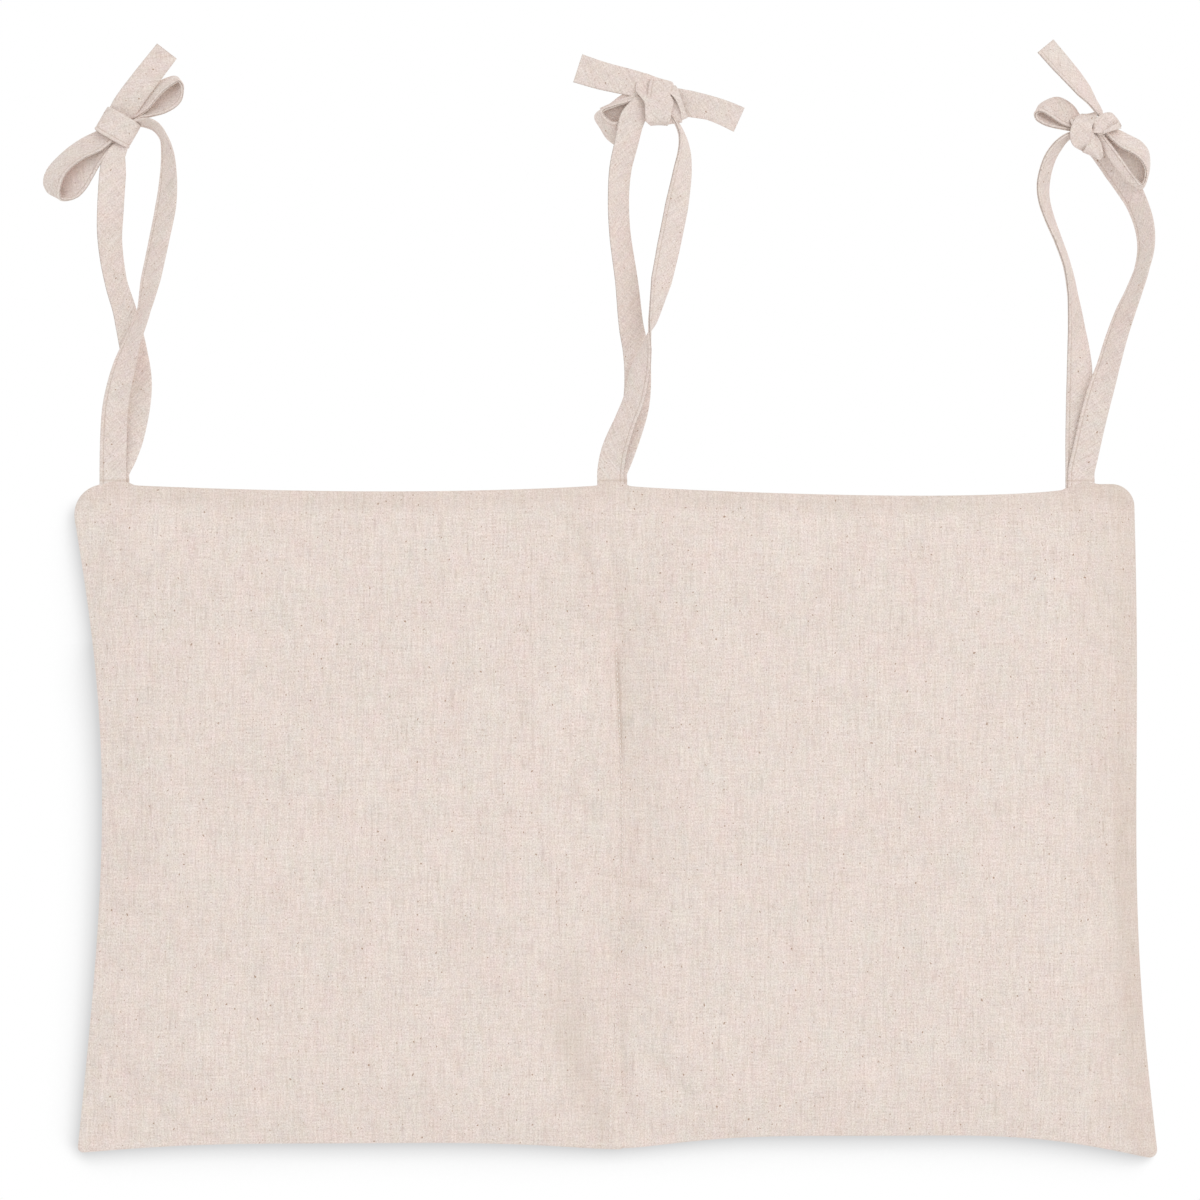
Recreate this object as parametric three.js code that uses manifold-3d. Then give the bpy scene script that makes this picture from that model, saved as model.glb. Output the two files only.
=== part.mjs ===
// A padded linen storage bag with two pockets, tied to the rail of a crib.
//
// Millimetres, +Z up. The plain back of the bag faces -Y, its pockets face +Y, and +X is to the
// right seen from the back. The origin lies on the axis of the rail that the three tie loops go
// round. The bag hangs below it and swings about its top seam.

import * as THREE from 'three';
import { mergeVertices } from 'three/addons/utils/BufferGeometryUtils.js';
import Module from 'manifold-3d';

const wasm = await Module();
wasm.setup();

// Driving dimensions of the bag body

const seamDrop = 180; // rail axis down to the top seam
const bagHeight = 370.6; // top seam down to the foot of the divider seam
const topWidth = 593.6;
const footWidth = 602.4;
const topShift = -8.1; // middle of the top edge, measured from the origin along X
const footShift = 1; // middle of the foot edge
const leftDrawIn = 16; // how far the stuffing draws each side seam in
const rightDrawIn = 5.4;
const leftDrawLean = 1.2; // more of it above the middle of the side
const rightDrawLean = -2.1; // more of it below the middle
const leftTopSag = 4.1; // the top edge hangs this much between two ties
const rightTopSag = 6.5;
const leftSagLean = 1.15; // over 1, it hangs lowest nearer to the right one of them
const rightSagLean = 1.65;
const leftSagFullness = 0.7; // under 1, the sag is flatter in its middle
const rightSagFullness = 0.4;
const leftFootRise = 5.4; // the foot edge is drawn up this much between its corners
const rightFootRise = 12.3;
const leftFootLean = 0; // share of the rise that leans towards the corner
const rightFootLean = 0.08;
const footFlatness = 0.13;
const leftCornerDrop = 1.2; // foot corners reach lower than the foot of the divider
const rightCornerDrop = 4.8;
const topLeftRadius = 15;
const topRightRadius = 10;
const footLeftRadius = 2;
const footRightRadius = 4.5;

// Cloth, wadding and the seam between them

const clearance = 0.3; // between any two pieces
const panelPly = 1.2; // linen with its backing, one panel
const backCrown = 10.5; // height of the stuffed back over its seam
const frontCrown = 3.5; // the pocket side is pulled flat
const edgeRoll = 45; // distance from a seam at which the crown is full
const dividerRoll = 36;
const dividerPinch = 0.85; // share of the crown that the divider seam takes away
const dividerFade = 0.15; // the same share at the top seam, above the stitching
const dividerShift = 3; // divider seam at mid height, measured from the origin along X

// Pockets

const pocketHeadroom = 86; // top seam down to the pocket mouths
const hemHeight = 18;
const hemPly = 0.9;
const pocketPly = 1.2;
const liningPly = 0.9;
const pocketGape = 16; // how far a mouth stands open at its middle
const pocketSplit = 0.8; // between the two pockets, along the divider

// Ties

const strapWidth = 15;
const strapPly = 1.4; // folded and stitched tape
const strapEdge = 0.7; // how far its two long edges are rounded
const leftTieInset = 23.5; // from the end of the top edge to the middle of the tie
const rightTieInset = 28.7;
const centreTieX = -2.4;
const tieHeight = 246.7; // from the top seam to the highest tail

const linen = new THREE.MeshStandardMaterial({ color: 0xe5d8cf, roughness: 0.95, metalness: 0 });
const liningLinen = new THREE.MeshStandardMaterial({ color: 0xe9dfd6, roughness: 0.95, metalness: 0 });
const strapLinen = new THREE.MeshStandardMaterial({ color: 0xdfd0c7, roughness: 0.95, metalness: 0 });
const waddingWhite = new THREE.MeshStandardMaterial({ color: 0xf4f2ee, roughness: 1, metalness: 0 });

const lerp = THREE.MathUtils.lerp;
const smoothstep = THREE.MathUtils.smoothstep;

const topLeftX = topShift - topWidth / 2;
const topRightX = topShift + topWidth / 2;
const footLeftX = footShift - footWidth / 2;
const footRightX = footShift + footWidth / 2;
const leftTieX = topLeftX + leftTieInset;
const rightTieX = topRightX - rightTieInset;
const edgeRadius = clearance / 2 + panelPly; // half-round edge of the closed bag

// The outline. u runs from the left side seam to the right, v from the top seam to the foot.

const halfWave = (t) => Math.sin(Math.PI * t);
const fullWave = (t) => Math.sin(2 * Math.PI * t);

function leftSide(v) {
  return lerp(topLeftX, footLeftX, v) + leftDrawIn * halfWave(v) + leftDrawLean * fullWave(v);
}

function rightSide(v) {
  return lerp(topRightX, footRightX, v) - rightDrawIn * halfWave(v) - rightDrawLean * fullWave(v);
}

const midWidth = rightSide(0.5) - leftSide(0.5);
const dividerU = (dividerShift - leftSide(0.5)) / midWidth;

// Height of the top edge under the seam line: level at each tie and hanging between them.
function topEdge(u) {
  const x = lerp(topLeftX, topRightX, u);
  const spans = [
    [leftTieX, centreTieX, leftTopSag, leftSagLean, leftSagFullness],
    [centreTieX, rightTieX, rightTopSag, rightSagLean, rightSagFullness],
  ];
  const span = spans.find(([from, to]) => x > from && x < to);
  if (!span) return 0;
  const [from, to, sag, lean, fullness] = span;
  return -sag * Math.max(0, halfWave(((x - from) / (to - from)) ** lean)) ** fullness;
}

// The foot edge arches up between a corner and the divider, as the filled pocket lifts it.
function footEdge(u) {
  const onLeft = u < dividerU;
  const share = onLeft ? u / dividerU : (1 - u) / (1 - dividerU);
  const cornerDrop = onLeft ? leftCornerDrop : rightCornerDrop;
  const rise = onLeft ? leftFootRise : rightFootRise;
  const lean = onLeft ? leftFootLean : rightFootLean;
  const arch = halfWave(share) + lean * fullWave(share) + footFlatness * Math.sin(3 * Math.PI * share);
  return -bagHeight - cornerDrop * (1 - share) + rise * arch;
}

// Square to round: the corner square of side r is pulled in until its outer corner is an arc.
function roundCorner(a, b, r) {
  if (a >= r || b >= r) return [a, b];
  const p = 1 - a / r;
  const q = 1 - b / r;
  return [r * (1 - p * Math.sqrt(1 - (q * q) / 2)), r * (1 - q * Math.sqrt(1 - (p * p) / 2))];
}

function place(u, v) {
  const fromLeft = u < 0.5;
  const fromTop = v < 0.5;
  const topRadius = fromLeft ? topLeftRadius : topRightRadius;
  const footRadius = fromLeft ? footLeftRadius : footRightRadius;
  const radius = fromTop ? topRadius : footRadius;
  const across = (fromLeft ? u : 1 - u) * midWidth;
  const along = (fromTop ? v : 1 - v) * bagHeight;
  const [a, b] = roundCorner(across, along, radius);
  const ru = fromLeft ? a / midWidth : 1 - a / midWidth;
  const rv = fromTop ? b / bagHeight : 1 - b / bagHeight;
  return {
    x: lerp(leftSide(rv), rightSide(rv), ru),
    z: lerp(topEdge(ru), footEdge(ru), rv) - seamDrop,
  };
}

// The crown: a quarter wave from nothing on a seam to full at the roll distance.
function roll(distance, reach) {
  return Math.sin((Math.PI / 2) * Math.min(distance / reach, 1)) ** 0.75;
}

function crownShare(u, v) {
  const sides = roll(u * midWidth, edgeRoll) * roll((1 - u) * midWidth, edgeRoll);
  const ends = roll(v * bagHeight, edgeRoll) * roll((1 - v) * bagHeight, edgeRoll);
  const stitched = smoothstep(v * bagHeight, 0, pocketHeadroom);
  const pinch = lerp(dividerFade, dividerPinch, stitched);
  const open = roll(Math.abs(u - dividerU) * midWidth, dividerRoll);
  return sides * ends * (1 - pinch * (1 - open));
}

// Grid lines shared by every layer, close together where the crown rolls over.

const rollLines = [0, 0.09, 0.24, 0.53, 1];
const dividerLines = [0.56, 0.2];
const fieldCells = 4;

function evenly(from, to, cells) {
  return Array.from({ length: cells - 1 }, (_, k) => lerp(from, to, (k + 1) / cells));
}

function halfLines(length) {
  const outer = rollLines.map((share) => share * edgeRoll);
  const inner = [1, ...dividerLines].map((share) => length - share * dividerRoll);
  return [...outer, ...evenly(edgeRoll, length - dividerRoll, fieldCells), ...inner];
}

const splitHalf = pocketSplit / 2;
const leftHalf = dividerU * midWidth;
const rightHalf = midWidth - leftHalf;
const acrossLines = [
  ...halfLines(leftHalf),
  leftHalf - splitHalf,
  leftHalf + splitHalf,
  ...halfLines(rightHalf).reverse().map((distance) => midWidth - distance),
];
const downLines = [
  ...rollLines.map((share) => share * edgeRoll),
  pocketHeadroom,
  pocketHeadroom + hemHeight,
  ...evenly(pocketHeadroom + hemHeight, bagHeight - edgeRoll, fieldCells + 1),
  ...rollLines.map((share) => bagHeight - share * edgeRoll).reverse(),
];

const columns = acrossLines.length - 1;
const rows = downLines.length - 1;
const mouthRow = downLines.indexOf(pocketHeadroom);
const leftSplitColumn = acrossLines.indexOf(leftHalf - splitHalf);
const rightSplitColumn = leftSplitColumn + 1;

const grid = acrossLines.map((across) =>
  downLines.map((down) => {
    const u = across / midWidth;
    const v = down / bagHeight;
    return { u, v, ...place(u, v), crown: crownShare(u, v) };
  })
);

// The surfaces, as a depth along Y for a grid node.

const backOuter = (node) => -edgeRadius - backCrown * node.crown;
const backInner = (node) => -clearance / 2 - backCrown * node.crown;
const frontInner = (node) => clearance / 2 + frontCrown * node.crown;
const frontOuter = (node) => edgeRadius + frontCrown * node.crown;

// How far a pocket stands off the front panel: nothing along its three sewn edges, full at the
// middle of its mouth.
function pocketBelly(node, fromU, toU) {
  const across = THREE.MathUtils.clamp((node.u - fromU) / (toU - fromU), 0, 1);
  const up = (bagHeight - node.v * bagHeight) / (bagHeight - pocketHeadroom);
  return pocketGape * Math.sin(Math.PI * across) ** 0.7 * (1 - (1 - up) ** 3);
}

// One closed body from a list of positions and triangles, turned right side out.
function closedBody(positions, triangles) {
  let volume = 0;
  const corner = (k) => new THREE.Vector3().fromArray(positions[k]);
  for (const [a, b, c] of triangles) volume += corner(a).dot(corner(b).cross(corner(c))) / 6;
  const faces = volume < 0 ? triangles.map(([a, b, c]) => [a, c, b]) : triangles;
  const geometry = new THREE.BufferGeometry();
  geometry.setAttribute('position', new THREE.Float32BufferAttribute(positions.flat(), 3));
  geometry.setIndex(faces.flat());
  return geometry;
}

function bandFaces(first, second) {
  return first.flatMap((a, k) => {
    const next = (k + 1) % first.length;
    return [
      [a, first[next], second[k]],
      [first[next], second[next], second[k]],
    ];
  });
}

// A layer of cloth or wadding over a stretch of the grid, between two depths. The rims are
// closed rings around it, given as [outward, depth] pairs from the near face to the far one.
function layer({ from, to, near, far, rims = [], farFlare = 0 }) {
  const [i0, j0] = from;
  const [i1, j1] = to;
  const positions = [];
  const edge = [];
  for (let i = i0; i < i1; i++) edge.push([i, j0]);
  for (let j = j0; j < j1; j++) edge.push([i1, j]);
  for (let i = i1; i > i0; i--) edge.push([i, j1]);
  for (let j = j1; j > j0; j--) edge.push([i0, j]);
  const outward = new Map(
    edge.map(([i, j], k) => {
      const [pi, pj] = edge[(k + edge.length - 1) % edge.length];
      const [ni, nj] = edge[(k + 1) % edge.length];
      const run = new THREE.Vector2(grid[ni][nj].x - grid[pi][pj].x, grid[ni][nj].z - grid[pi][pj].z);
      run.normalize();
      return [`${i},${j}`, new THREE.Vector2(-run.y, run.x)];
    })
  );
  const add = (i, j, out, depth) => {
    const node = grid[i][j];
    const away = outward.get(`${i},${j}`) ?? new THREE.Vector2();
    return positions.push([node.x + away.x * out, depth(node), node.z + away.y * out]) - 1;
  };
  const face = (out, depth) => {
    const index = [];
    for (let i = i0; i <= i1; i++) {
      index.push([]);
      for (let j = j0; j <= j1; j++) index[i - i0].push(add(i, j, out, depth));
    }
    return index;
  };
  const nearFace = face(0, near);
  const farFace = face(farFlare, far);
  const triangles = [];
  for (let i = 0; i < i1 - i0; i++) {
    for (let j = 0; j < j1 - j0; j++) {
      const [a, b, c, d] = [nearFace[i][j], nearFace[i + 1][j], nearFace[i + 1][j + 1], nearFace[i][j + 1]];
      const [e, f, g, h] = [farFace[i][j], farFace[i + 1][j], farFace[i + 1][j + 1], farFace[i][j + 1]];
      triangles.push([a, b, c], [a, c, d], [e, g, f], [e, h, g]);
    }
  }
  const ringOf = (index) => edge.map(([i, j]) => index[i - i0][j - j0]);
  const middleRings = rims.map(([out, depth]) => edge.map(([i, j]) => add(i, j, out, () => depth)));
  const rings = [ringOf(nearFace), ...middleRings, ringOf(farFace)];
  for (let k = 0; k + 1 < rings.length; k++) triangles.push(...bandFaces(rings[k + 1], rings[k]));
  return closedBody(positions, triangles);
}

// The two panels meet in a half-round edge, centred on the seam line that the bag swings about.

const quarterTurn = Math.PI / 4;
const rimOut = edgeRadius * Math.sin(quarterTurn);

function backPanel() {
  return layer({
    from: [0, 0],
    to: [columns, rows],
    near: backOuter,
    far: backInner,
    rims: [[rimOut, -rimOut]],
    farFlare: edgeRadius,
  });
}

function frontPanel() {
  return layer({
    from: [0, 0],
    to: [columns, rows],
    near: frontOuter,
    far: frontInner,
    rims: [[rimOut, rimOut]],
    farFlare: edgeRadius,
  });
}

function wadding() {
  return layer({
    from: [1, 1],
    to: [columns - 1, rows - 1],
    near: (node) => backInner(node) + clearance,
    far: (node) => frontInner(node) - clearance,
  });
}

// One pocket: a lining, the outer cloth over it and a hem band on the mouth.
function pocket(fromColumn, toColumn) {
  const fromU = grid[fromColumn][mouthRow].u;
  const toU = grid[toColumn][mouthRow].u;
  const stand = (node) => frontOuter(node) + clearance + pocketBelly(node, fromU, toU);
  const liningFace = (node) => stand(node) + liningPly;
  const outerBack = (node) => liningFace(node) + clearance;
  const outerFace = (node) => outerBack(node) + pocketPly;
  const hemBack = (node) => outerFace(node) + clearance;
  const hemFace = (node) => hemBack(node) + hemPly;
  const from = [fromColumn, mouthRow];
  const to = [toColumn, rows];
  return {
    lining: layer({ from, to, near: stand, far: liningFace }),
    outer: layer({ from, to, near: outerBack, far: outerFace }),
    hem: layer({ from, to: [toColumn, mouthRow + 1], near: hemBack, far: hemFace }),
  };
}

// Ties. Each tie is two straps sewn into the top seam at the same place. The tail strap runs up
// behind, through the knot, and ends in a tail. The bow strap crosses in front of it, makes the
// knot round it and ends in the bow. All places are measured from the foot of the tie on the
// seam line: right, up, back. A tilt turns a strap about its own length, and its width shrinks
// where the knot gathers it.

const strapFoot = edgeRadius + clearance;
const layDepth = (strapPly + clearance) / 2; // each strap from the seam plane, at the foot
const sewnLength = 6; // the lowest stretch of a strap stands straight up out of the seam

function sewnEnd(right, back) {
  return [{ at: [right, strapFoot, back] }, { at: [right, strapFoot + sewnLength, back] }];
}

const ties = {
  left: {
    tail: [
      ...sewnEnd(1.3, layDepth),
      { at: [5.4, 17, 1.2] },
      { at: [9.2, 27.5, 1.6] },
      { at: [13, 47.5, 3] },
      { at: [13.4, 60.5, 4] },
      { at: [10.2, 79, 4.6], tilt: 12 },
      { at: [6, 98, 3.5], tilt: 34 },
      { at: [1, 115, 2.5], tilt: 40 },
      { at: [-2.2, 138, 1.5], tilt: 32 },
      { at: [-1.7, 156.5, 0.5], tilt: 16 },
      { at: [-0.2, 174.5, -1], tilt: 14 },
      { at: [0.8, 188, -0.5], tilt: 10, width: 12 },
      { at: [0.6, 198, 0], width: 8 },
      { at: [2, 207.3, 0], width: 12 },
      { at: [7, 213.8, 0], width: 15.3 },
      { at: [16, 225.8, 0], width: 14.8 },
      { at: [29.9, 243.8, 0], width: 13.9 },
    ],
    bow: [
      ...sewnEnd(-0.2, -layDepth),
      { at: [0.2, 26, -1.6] },
      { at: [1.3, 42.8, -3], tilt: 14 },
      { at: [3.7, 55.7, -5], tilt: 30 },
      { at: [7, 67.4, -6.6], tilt: 38 },
      { at: [11.4, 80.3, -7.6], tilt: 42 },
      { at: [17.8, 98.2, -6.4], tilt: 58 },
      { at: [21.3, 115.6, -4], tilt: 48 },
      { at: [25.8, 138, -2], tilt: 43 },
      { at: [29.3, 156.5, -1], tilt: 42 },
      { at: [30.6, 171, 0], tilt: 46 },
      { at: [30.3, 186, 0], tilt: 62 },
      { at: [28, 195.7, 0], tilt: 72, width: 14 },
      { at: [23.8, 201.4, 0], tilt: 72, width: 14 },
      { at: [18.8, 203.6, 0], tilt: 72, width: 13 },
      { at: [12, 203.4, 0], tilt: 80, width: 10 },
      { at: [4, 200.5, 0], tilt: 88, width: 8 },
    ],
    knots: [{ at: [2.4, 200.9, 0], turn: 60, length: 15.8, across: 21.5, depth: 11.5 }],
    loops: [
      {
        widthVector: [-9, 10.6, 5.6],
        rim: [[-1, 194], [-14.6, 183.4], [-27, 174], [-31.4, 166], [-26.6, 160], [-15.5, 166.5], [-6, 182], [-1, 191]],
      },
      {
        widthVector: [-2.6, 14.2, 4],
        rim: [[8, 203], [20.8, 213], [35, 225.2], [39.4, 222.8], [39, 216], [33, 210.6], [21, 207], [8, 202]],
      },
    ],
    tails: [],
  },
  centre: {
    tail: [
      ...sewnEnd(1.2, layDepth),
      { at: [4.3, 16, 1.6] },
      { at: [9.6, 31, 2.4] },
      { at: [13.6, 46, 3.4] },
      { at: [14.6, 63, 4.4] },
      { at: [13.6, 76.4, 5], tilt: 10 },
      { at: [11, 90, 4.6], tilt: 22 },
      { at: [8.4, 114.5, 3], tilt: 31 },
      { at: [4.5, 143, 1.5], tilt: 38 },
      { at: [3.8, 162.6, 0], tilt: 39 },
      { at: [5, 178.3, -1.5], tilt: 35 },
      { at: [8, 191.2, -2.5], tilt: 30 },
      { at: [12.5, 206, -2], tilt: 15, width: 14 },
      { at: [18.5, 213.6, -0.5], width: 11 },
      { at: [26.7, 216.6, 0], width: 8 },
      { at: [36, 216, 0], width: 13 },
      { at: [44, 214.2, 0] },
      { at: [55, 211.3, 0], tilt: 14 },
      { at: [71.4, 205.3, 0] },
    ],
    bow: [
      ...sewnEnd(-0.6, -layDepth),
      { at: [1.4, 19.8, -1.8], tilt: 16 },
      { at: [7.2, 35.5, -3.8], tilt: 36 },
      { at: [12.3, 48.4, -5.6], tilt: 42 },
      { at: [15.8, 64, -7.4], tilt: 48 },
      { at: [19.2, 80.9, -8.4], tilt: 58 },
      { at: [22.2, 92, -7.6], tilt: 60 },
      { at: [27.7, 114.5, -4.6], tilt: 45 },
      { at: [31.7, 133.5, -2.6], tilt: 33 },
      { at: [36.4, 157, -1], tilt: 34 },
      { at: [39.8, 177.2, 0], tilt: 54 },
      { at: [40.7, 188.4, 0], tilt: 66, width: 14 },
      { at: [39.4, 197, 0], tilt: 74, width: 12 },
      { at: [35.5, 205, 0], tilt: 80, width: 10 },
      { at: [28, 213.6, 0], tilt: 88, width: 8 },
    ],
    knots: [{ at: [26.7, 216.4, 0], turn: -7, length: 15.5, across: 27, depth: 12 }],
    loops: [
      {
        widthVector: [2.2, 8, -12.5],
        rim: [[24, 221], [12, 219.5], [3.4, 216], [-6.8, 210.8], [-6.6, 206.6], [1.5, 205], [10, 208.4], [24, 215]],
      },
    ],
    tails: [
      [
        { at: [26, 221, -1], width: 12 },
        { at: [13.6, 225.5, -1] },
        { at: [-6.6, 230.3, -0.5], width: 15.5 },
        { at: [-19, 234.2, 0], width: 16.5 },
      ],
    ],
  },
  right: {
    tail: [
      ...sewnEnd(-0.7, layDepth),
      { at: [-0.7, 26, 1.2] },
      { at: [-0.3, 48.4, 1.6] },
      { at: [-0.2, 67.4, 2], tilt: 15 },
      { at: [-1.8, 88.1, 1.5], tilt: 45 },
      { at: [-4, 107.2, 1], tilt: 63 },
      { at: [-7.2, 123.4, 0], tilt: 69 },
      { at: [-12.3, 138, 0], tilt: 68 },
      { at: [-16.8, 149.2, 0], tilt: 64 },
      { at: [-20.2, 160.4, 0], tilt: 60 },
      { at: [-20.6, 170, 0], tilt: 58 },
      { at: [-17.3, 182.8, 0], tilt: 62 },
      { at: [-12, 191.2, 0], tilt: 66, width: 13 },
      { at: [-6.5, 196, 0], tilt: 76, width: 11 },
      { at: [1, 198.4, 0], tilt: 88, width: 8 },
      { at: [8.2, 200.6, 0], tilt: 88, width: 8 },
      { at: [12.2, 204.6, 0], tilt: 84, width: 8 },
      { at: [10.8, 209.6, 0], tilt: 74, width: 10 },
      { at: [6.8, 215.4, 0], tilt: 60, width: 13 },
      { at: [2.2, 221.4, 0], tilt: 48 },
      { at: [-4, 229, 0], tilt: 40 },
      { at: [-11.6, 237.6, 0], tilt: 34 },
      { at: [-19.5, 246.7, 0], tilt: 32 },
    ],
    bow: [
      ...sewnEnd(0.4, -layDepth),
      { at: [2.4, 17.6, -1.6], tilt: 5 },
      { at: [6.4, 36.1, -2.6], tilt: 9 },
      { at: [10.1, 51.2, -4], tilt: 20 },
      { at: [14.7, 66.3, -4.4], tilt: 34 },
      { at: [19.4, 82, -3], tilt: 40 },
      { at: [24.8, 97.1, -2], tilt: 46 },
      { at: [30, 109.4, -1], tilt: 51 },
      { at: [34.8, 122.3, 0], tilt: 57 },
      { at: [37.3, 134.6, 0], tilt: 52 },
      { at: [36.5, 146.9, 0], tilt: 40 },
      { at: [32, 160.3, 0], tilt: 32 },
      { at: [27, 169.3, 0], tilt: 26 },
      { at: [20.6, 178.6, 0], tilt: 22 },
      { at: [13.4, 187, 0], tilt: 20, width: 13 },
      { at: [7.2, 192.9, 0], tilt: 20, width: 11 },
      { at: [1, 198.2, 0], tilt: 20, width: 8 },
    ],
    knots: [
      { at: [0.4, 198, 0], turn: 22, length: 14, across: 21.5, depth: 12 },
      { at: [14.2, 203.4, 0], turn: -68, length: 12, across: 16, depth: 12 },
    ],
    loops: [
      {
        widthVector: [4.4, 11.8, 8],
        rim: [[0, 199], [-11.9, 205.4], [-19.5, 208.6], [-24.4, 208], [-25.2, 204.4], [-19, 201], [-9.1, 199.6], [0, 196]],
      },
      {
        widthVector: [3.4, 13.2, 6.6],
        rim: [[10, 200.6], [21, 192.5], [31.6, 184.5], [36, 177], [34.6, 170], [27.4, 172.6], [16.5, 186.8], [8, 199]],
      },
    ],
    tails: [],
  },
};

// The table is drawn to its own size and then brought to the height of the ties. A strap's foot
// stays on the seam.
const highest = Math.max(...Object.values(ties).flatMap(({ tail }) => tail.map(({ at }) => at[1])));
const tieScale = tieHeight / highest;

function atScale(value) {
  if (typeof value === 'number') return value * tieScale;
  if (Array.isArray(value)) return value.map(atScale);
  const { tilt, turn, ...lengths } = value;
  const scaled = Object.entries(lengths).map(([key, length]) => [key, atScale(length)]);
  return { ...Object.fromEntries(scaled), tilt, turn };
}

function scaledTie({ tail, bow, ...knot }) {
  const climb = (stations) => [...stations.slice(0, 2), ...atScale(stations.slice(2))];
  return { tail: climb(tail), bow: climb(bow), ...atScale(knot) };
}

// Cross-section of a strap as [along its width, through its ply], six corners.
function strapSection(width, ply) {
  const flat = width / 2 - strapEdge;
  return [
    [-width / 2, 0],
    [-flat, -ply / 2],
    [flat, -ply / 2],
    [width / 2, 0],
    [flat, ply / 2],
    [-flat, ply / 2],
  ];
}

// A strap swept through its stations. Between them its centre follows a smooth curve, and its
// tilt and width change evenly. A fixed width vector keeps a loop's cloth parallel to itself.
function strap({ stations, widthVector, swell = 0, stepsPerStation = 3 }) {
  const curve = new THREE.CatmullRomCurve3(stations.map(({ at }) => new THREE.Vector3(at[0], at[2], at[1])));
  const back = new THREE.Vector3(0, 1, 0);
  const steps = (stations.length - 1) * stepsPerStation;
  const positions = [];
  const rings = [];
  for (let k = 0; k <= steps; k++) {
    const place = k / stepsPerStation;
    const index = Math.min(Math.floor(place), stations.length - 2);
    const share = place - index;
    const blend = (key, fallback) =>
      lerp(stations[index][key] ?? fallback, stations[index + 1][key] ?? fallback, share);
    const centre = curve.getPoint(k / steps);
    const run = curve.getTangent(k / steps);
    const across = new THREE.Vector3();
    if (widthVector) {
      across.set(...widthVector).normalize();
    } else {
      const tilt = THREE.MathUtils.degToRad(blend('tilt', 0));
      const level = new THREE.Vector3().crossVectors(back, run).normalize();
      const deep = new THREE.Vector3().crossVectors(run, level);
      across.copy(level).multiplyScalar(Math.cos(tilt)).addScaledVector(deep, Math.sin(tilt));
    }
    const through = new THREE.Vector3().crossVectors(across, run).normalize();
    const section = strapSection(blend('width', strapWidth) + swell, strapPly + swell);
    const ring = section.map(([w, p]) => {
      const corner = centre.clone().addScaledVector(across, w).addScaledVector(through, p);
      return positions.push(corner.toArray()) - 1;
    });
    rings.push(ring);
  }
  const triangles = [];
  for (let k = 0; k < steps; k++) triangles.push(...bandFaces(rings[k], rings[k + 1]));
  const cap = ([first, ...rest]) => rest.slice(1).map((corner, k) => [first, rest[k], corner]);
  triangles.push(...cap([...rings[0]].reverse()), ...cap(rings[steps]));
  return closedBody(positions, triangles);
}

// A bow loop: the rim nearest the eye, given in the plane of the bag, carried back and across
// by the width vector of the cloth.
function bowLoop({ rim, widthVector }) {
  const [right, back, up] = widthVector;
  const stations = rim.map(([x, z]) => ({ at: [x + right / 2, z + up / 2, 0] }));
  return strap({ stations, widthVector: [right, back, up] });
}

// A knot: one turn of strap round the bunch, as a flattened ring with rounded edges.
const knotBevel = 1.2;

function knotBand({ at, turn, length, across, depth }) {
  const outline = new THREE.Shape();
  outline.absellipse(0, 0, across / 2 - knotBevel, depth / 2 - knotBevel, 0, 2 * Math.PI, false, 0);
  const band = new THREE.ExtrudeGeometry(outline, {
    depth: length - 2 * knotBevel,
    curveSegments: 9,
    bevelSize: knotBevel,
    bevelThickness: knotBevel,
    bevelSegments: 2,
  });
  band.translate(0, 0, knotBevel - length / 2);
  const angle = THREE.MathUtils.degToRad(turn);
  const axis = new THREE.Vector3(Math.cos(angle), 0, Math.sin(angle));
  const side = new THREE.Vector3(Math.sin(angle), 0, -Math.cos(angle));
  const seat = new THREE.Matrix4().makeBasis(side, new THREE.Vector3(0, 1, 0), axis);
  seat.setPosition(at[0], at[2], at[1]);
  return band.applyMatrix4(seat);
}

function solidOf(geometry) {
  const bare = geometry.clone();
  bare.deleteAttribute('normal');
  bare.deleteAttribute('uv');
  const merged = mergeVertices(bare, 1e-4);
  const mesh = new wasm.Mesh({
    numProp: 3,
    vertProperties: new Float32Array(merged.attributes.position.array),
    triVerts: new Uint32Array(merged.index.array),
  });
  return new wasm.Manifold(mesh);
}

function geometryOf(solid) {
  const mesh = solid.getMesh();
  const geometry = new THREE.BufferGeometry();
  geometry.setAttribute('position', new THREE.Float32BufferAttribute(mesh.vertProperties, 3));
  geometry.setIndex(Array.from(mesh.triVerts));
  return geometry;
}

// The bow strap with its knot and bow, and the way of the tail strap cut through it. Crumbs that
// the cut leaves beside the strap are dropped.
function bowStrap(tie) {
  const pieces = [
    strap({ stations: tie.bow }),
    ...tie.knots.map(knotBand),
    ...tie.loops.map(bowLoop),
    ...tie.tails.map((stations) => strap({ stations })),
  ];
  const way = solidOf(strap({ stations: tie.tail, swell: 2 * clearance }));
  const whole = pieces.map(solidOf).reduce((joined, piece) => joined.add(piece));
  const [body] = whole.subtract(way).decompose().sort((a, b) => b.volume() - a.volume());
  return geometryOf(body.simplify(0.02));
}

function node(name, geometry, material) {
  const mesh = new THREE.Mesh(geometry, material);
  mesh.name = name;
  return mesh;
}

const bag = new THREE.Group();
bag.add(node('back_panel', backPanel(), linen));
bag.add(node('wadding', wadding(), waddingWhite));
bag.add(node('front_panel', frontPanel(), liningLinen));

const pocketColumns = { left: [0, leftSplitColumn], right: [rightSplitColumn, columns] };
for (const [side, [from, to]] of Object.entries(pocketColumns)) {
  const { lining, outer, hem } = pocket(from, to);
  bag.add(node(`${side}_pocket_lining`, lining, liningLinen));
  bag.add(node(`${side}_pocket_outer`, outer, linen));
  bag.add(node(`${side}_pocket_hem`, hem, linen));
}

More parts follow.
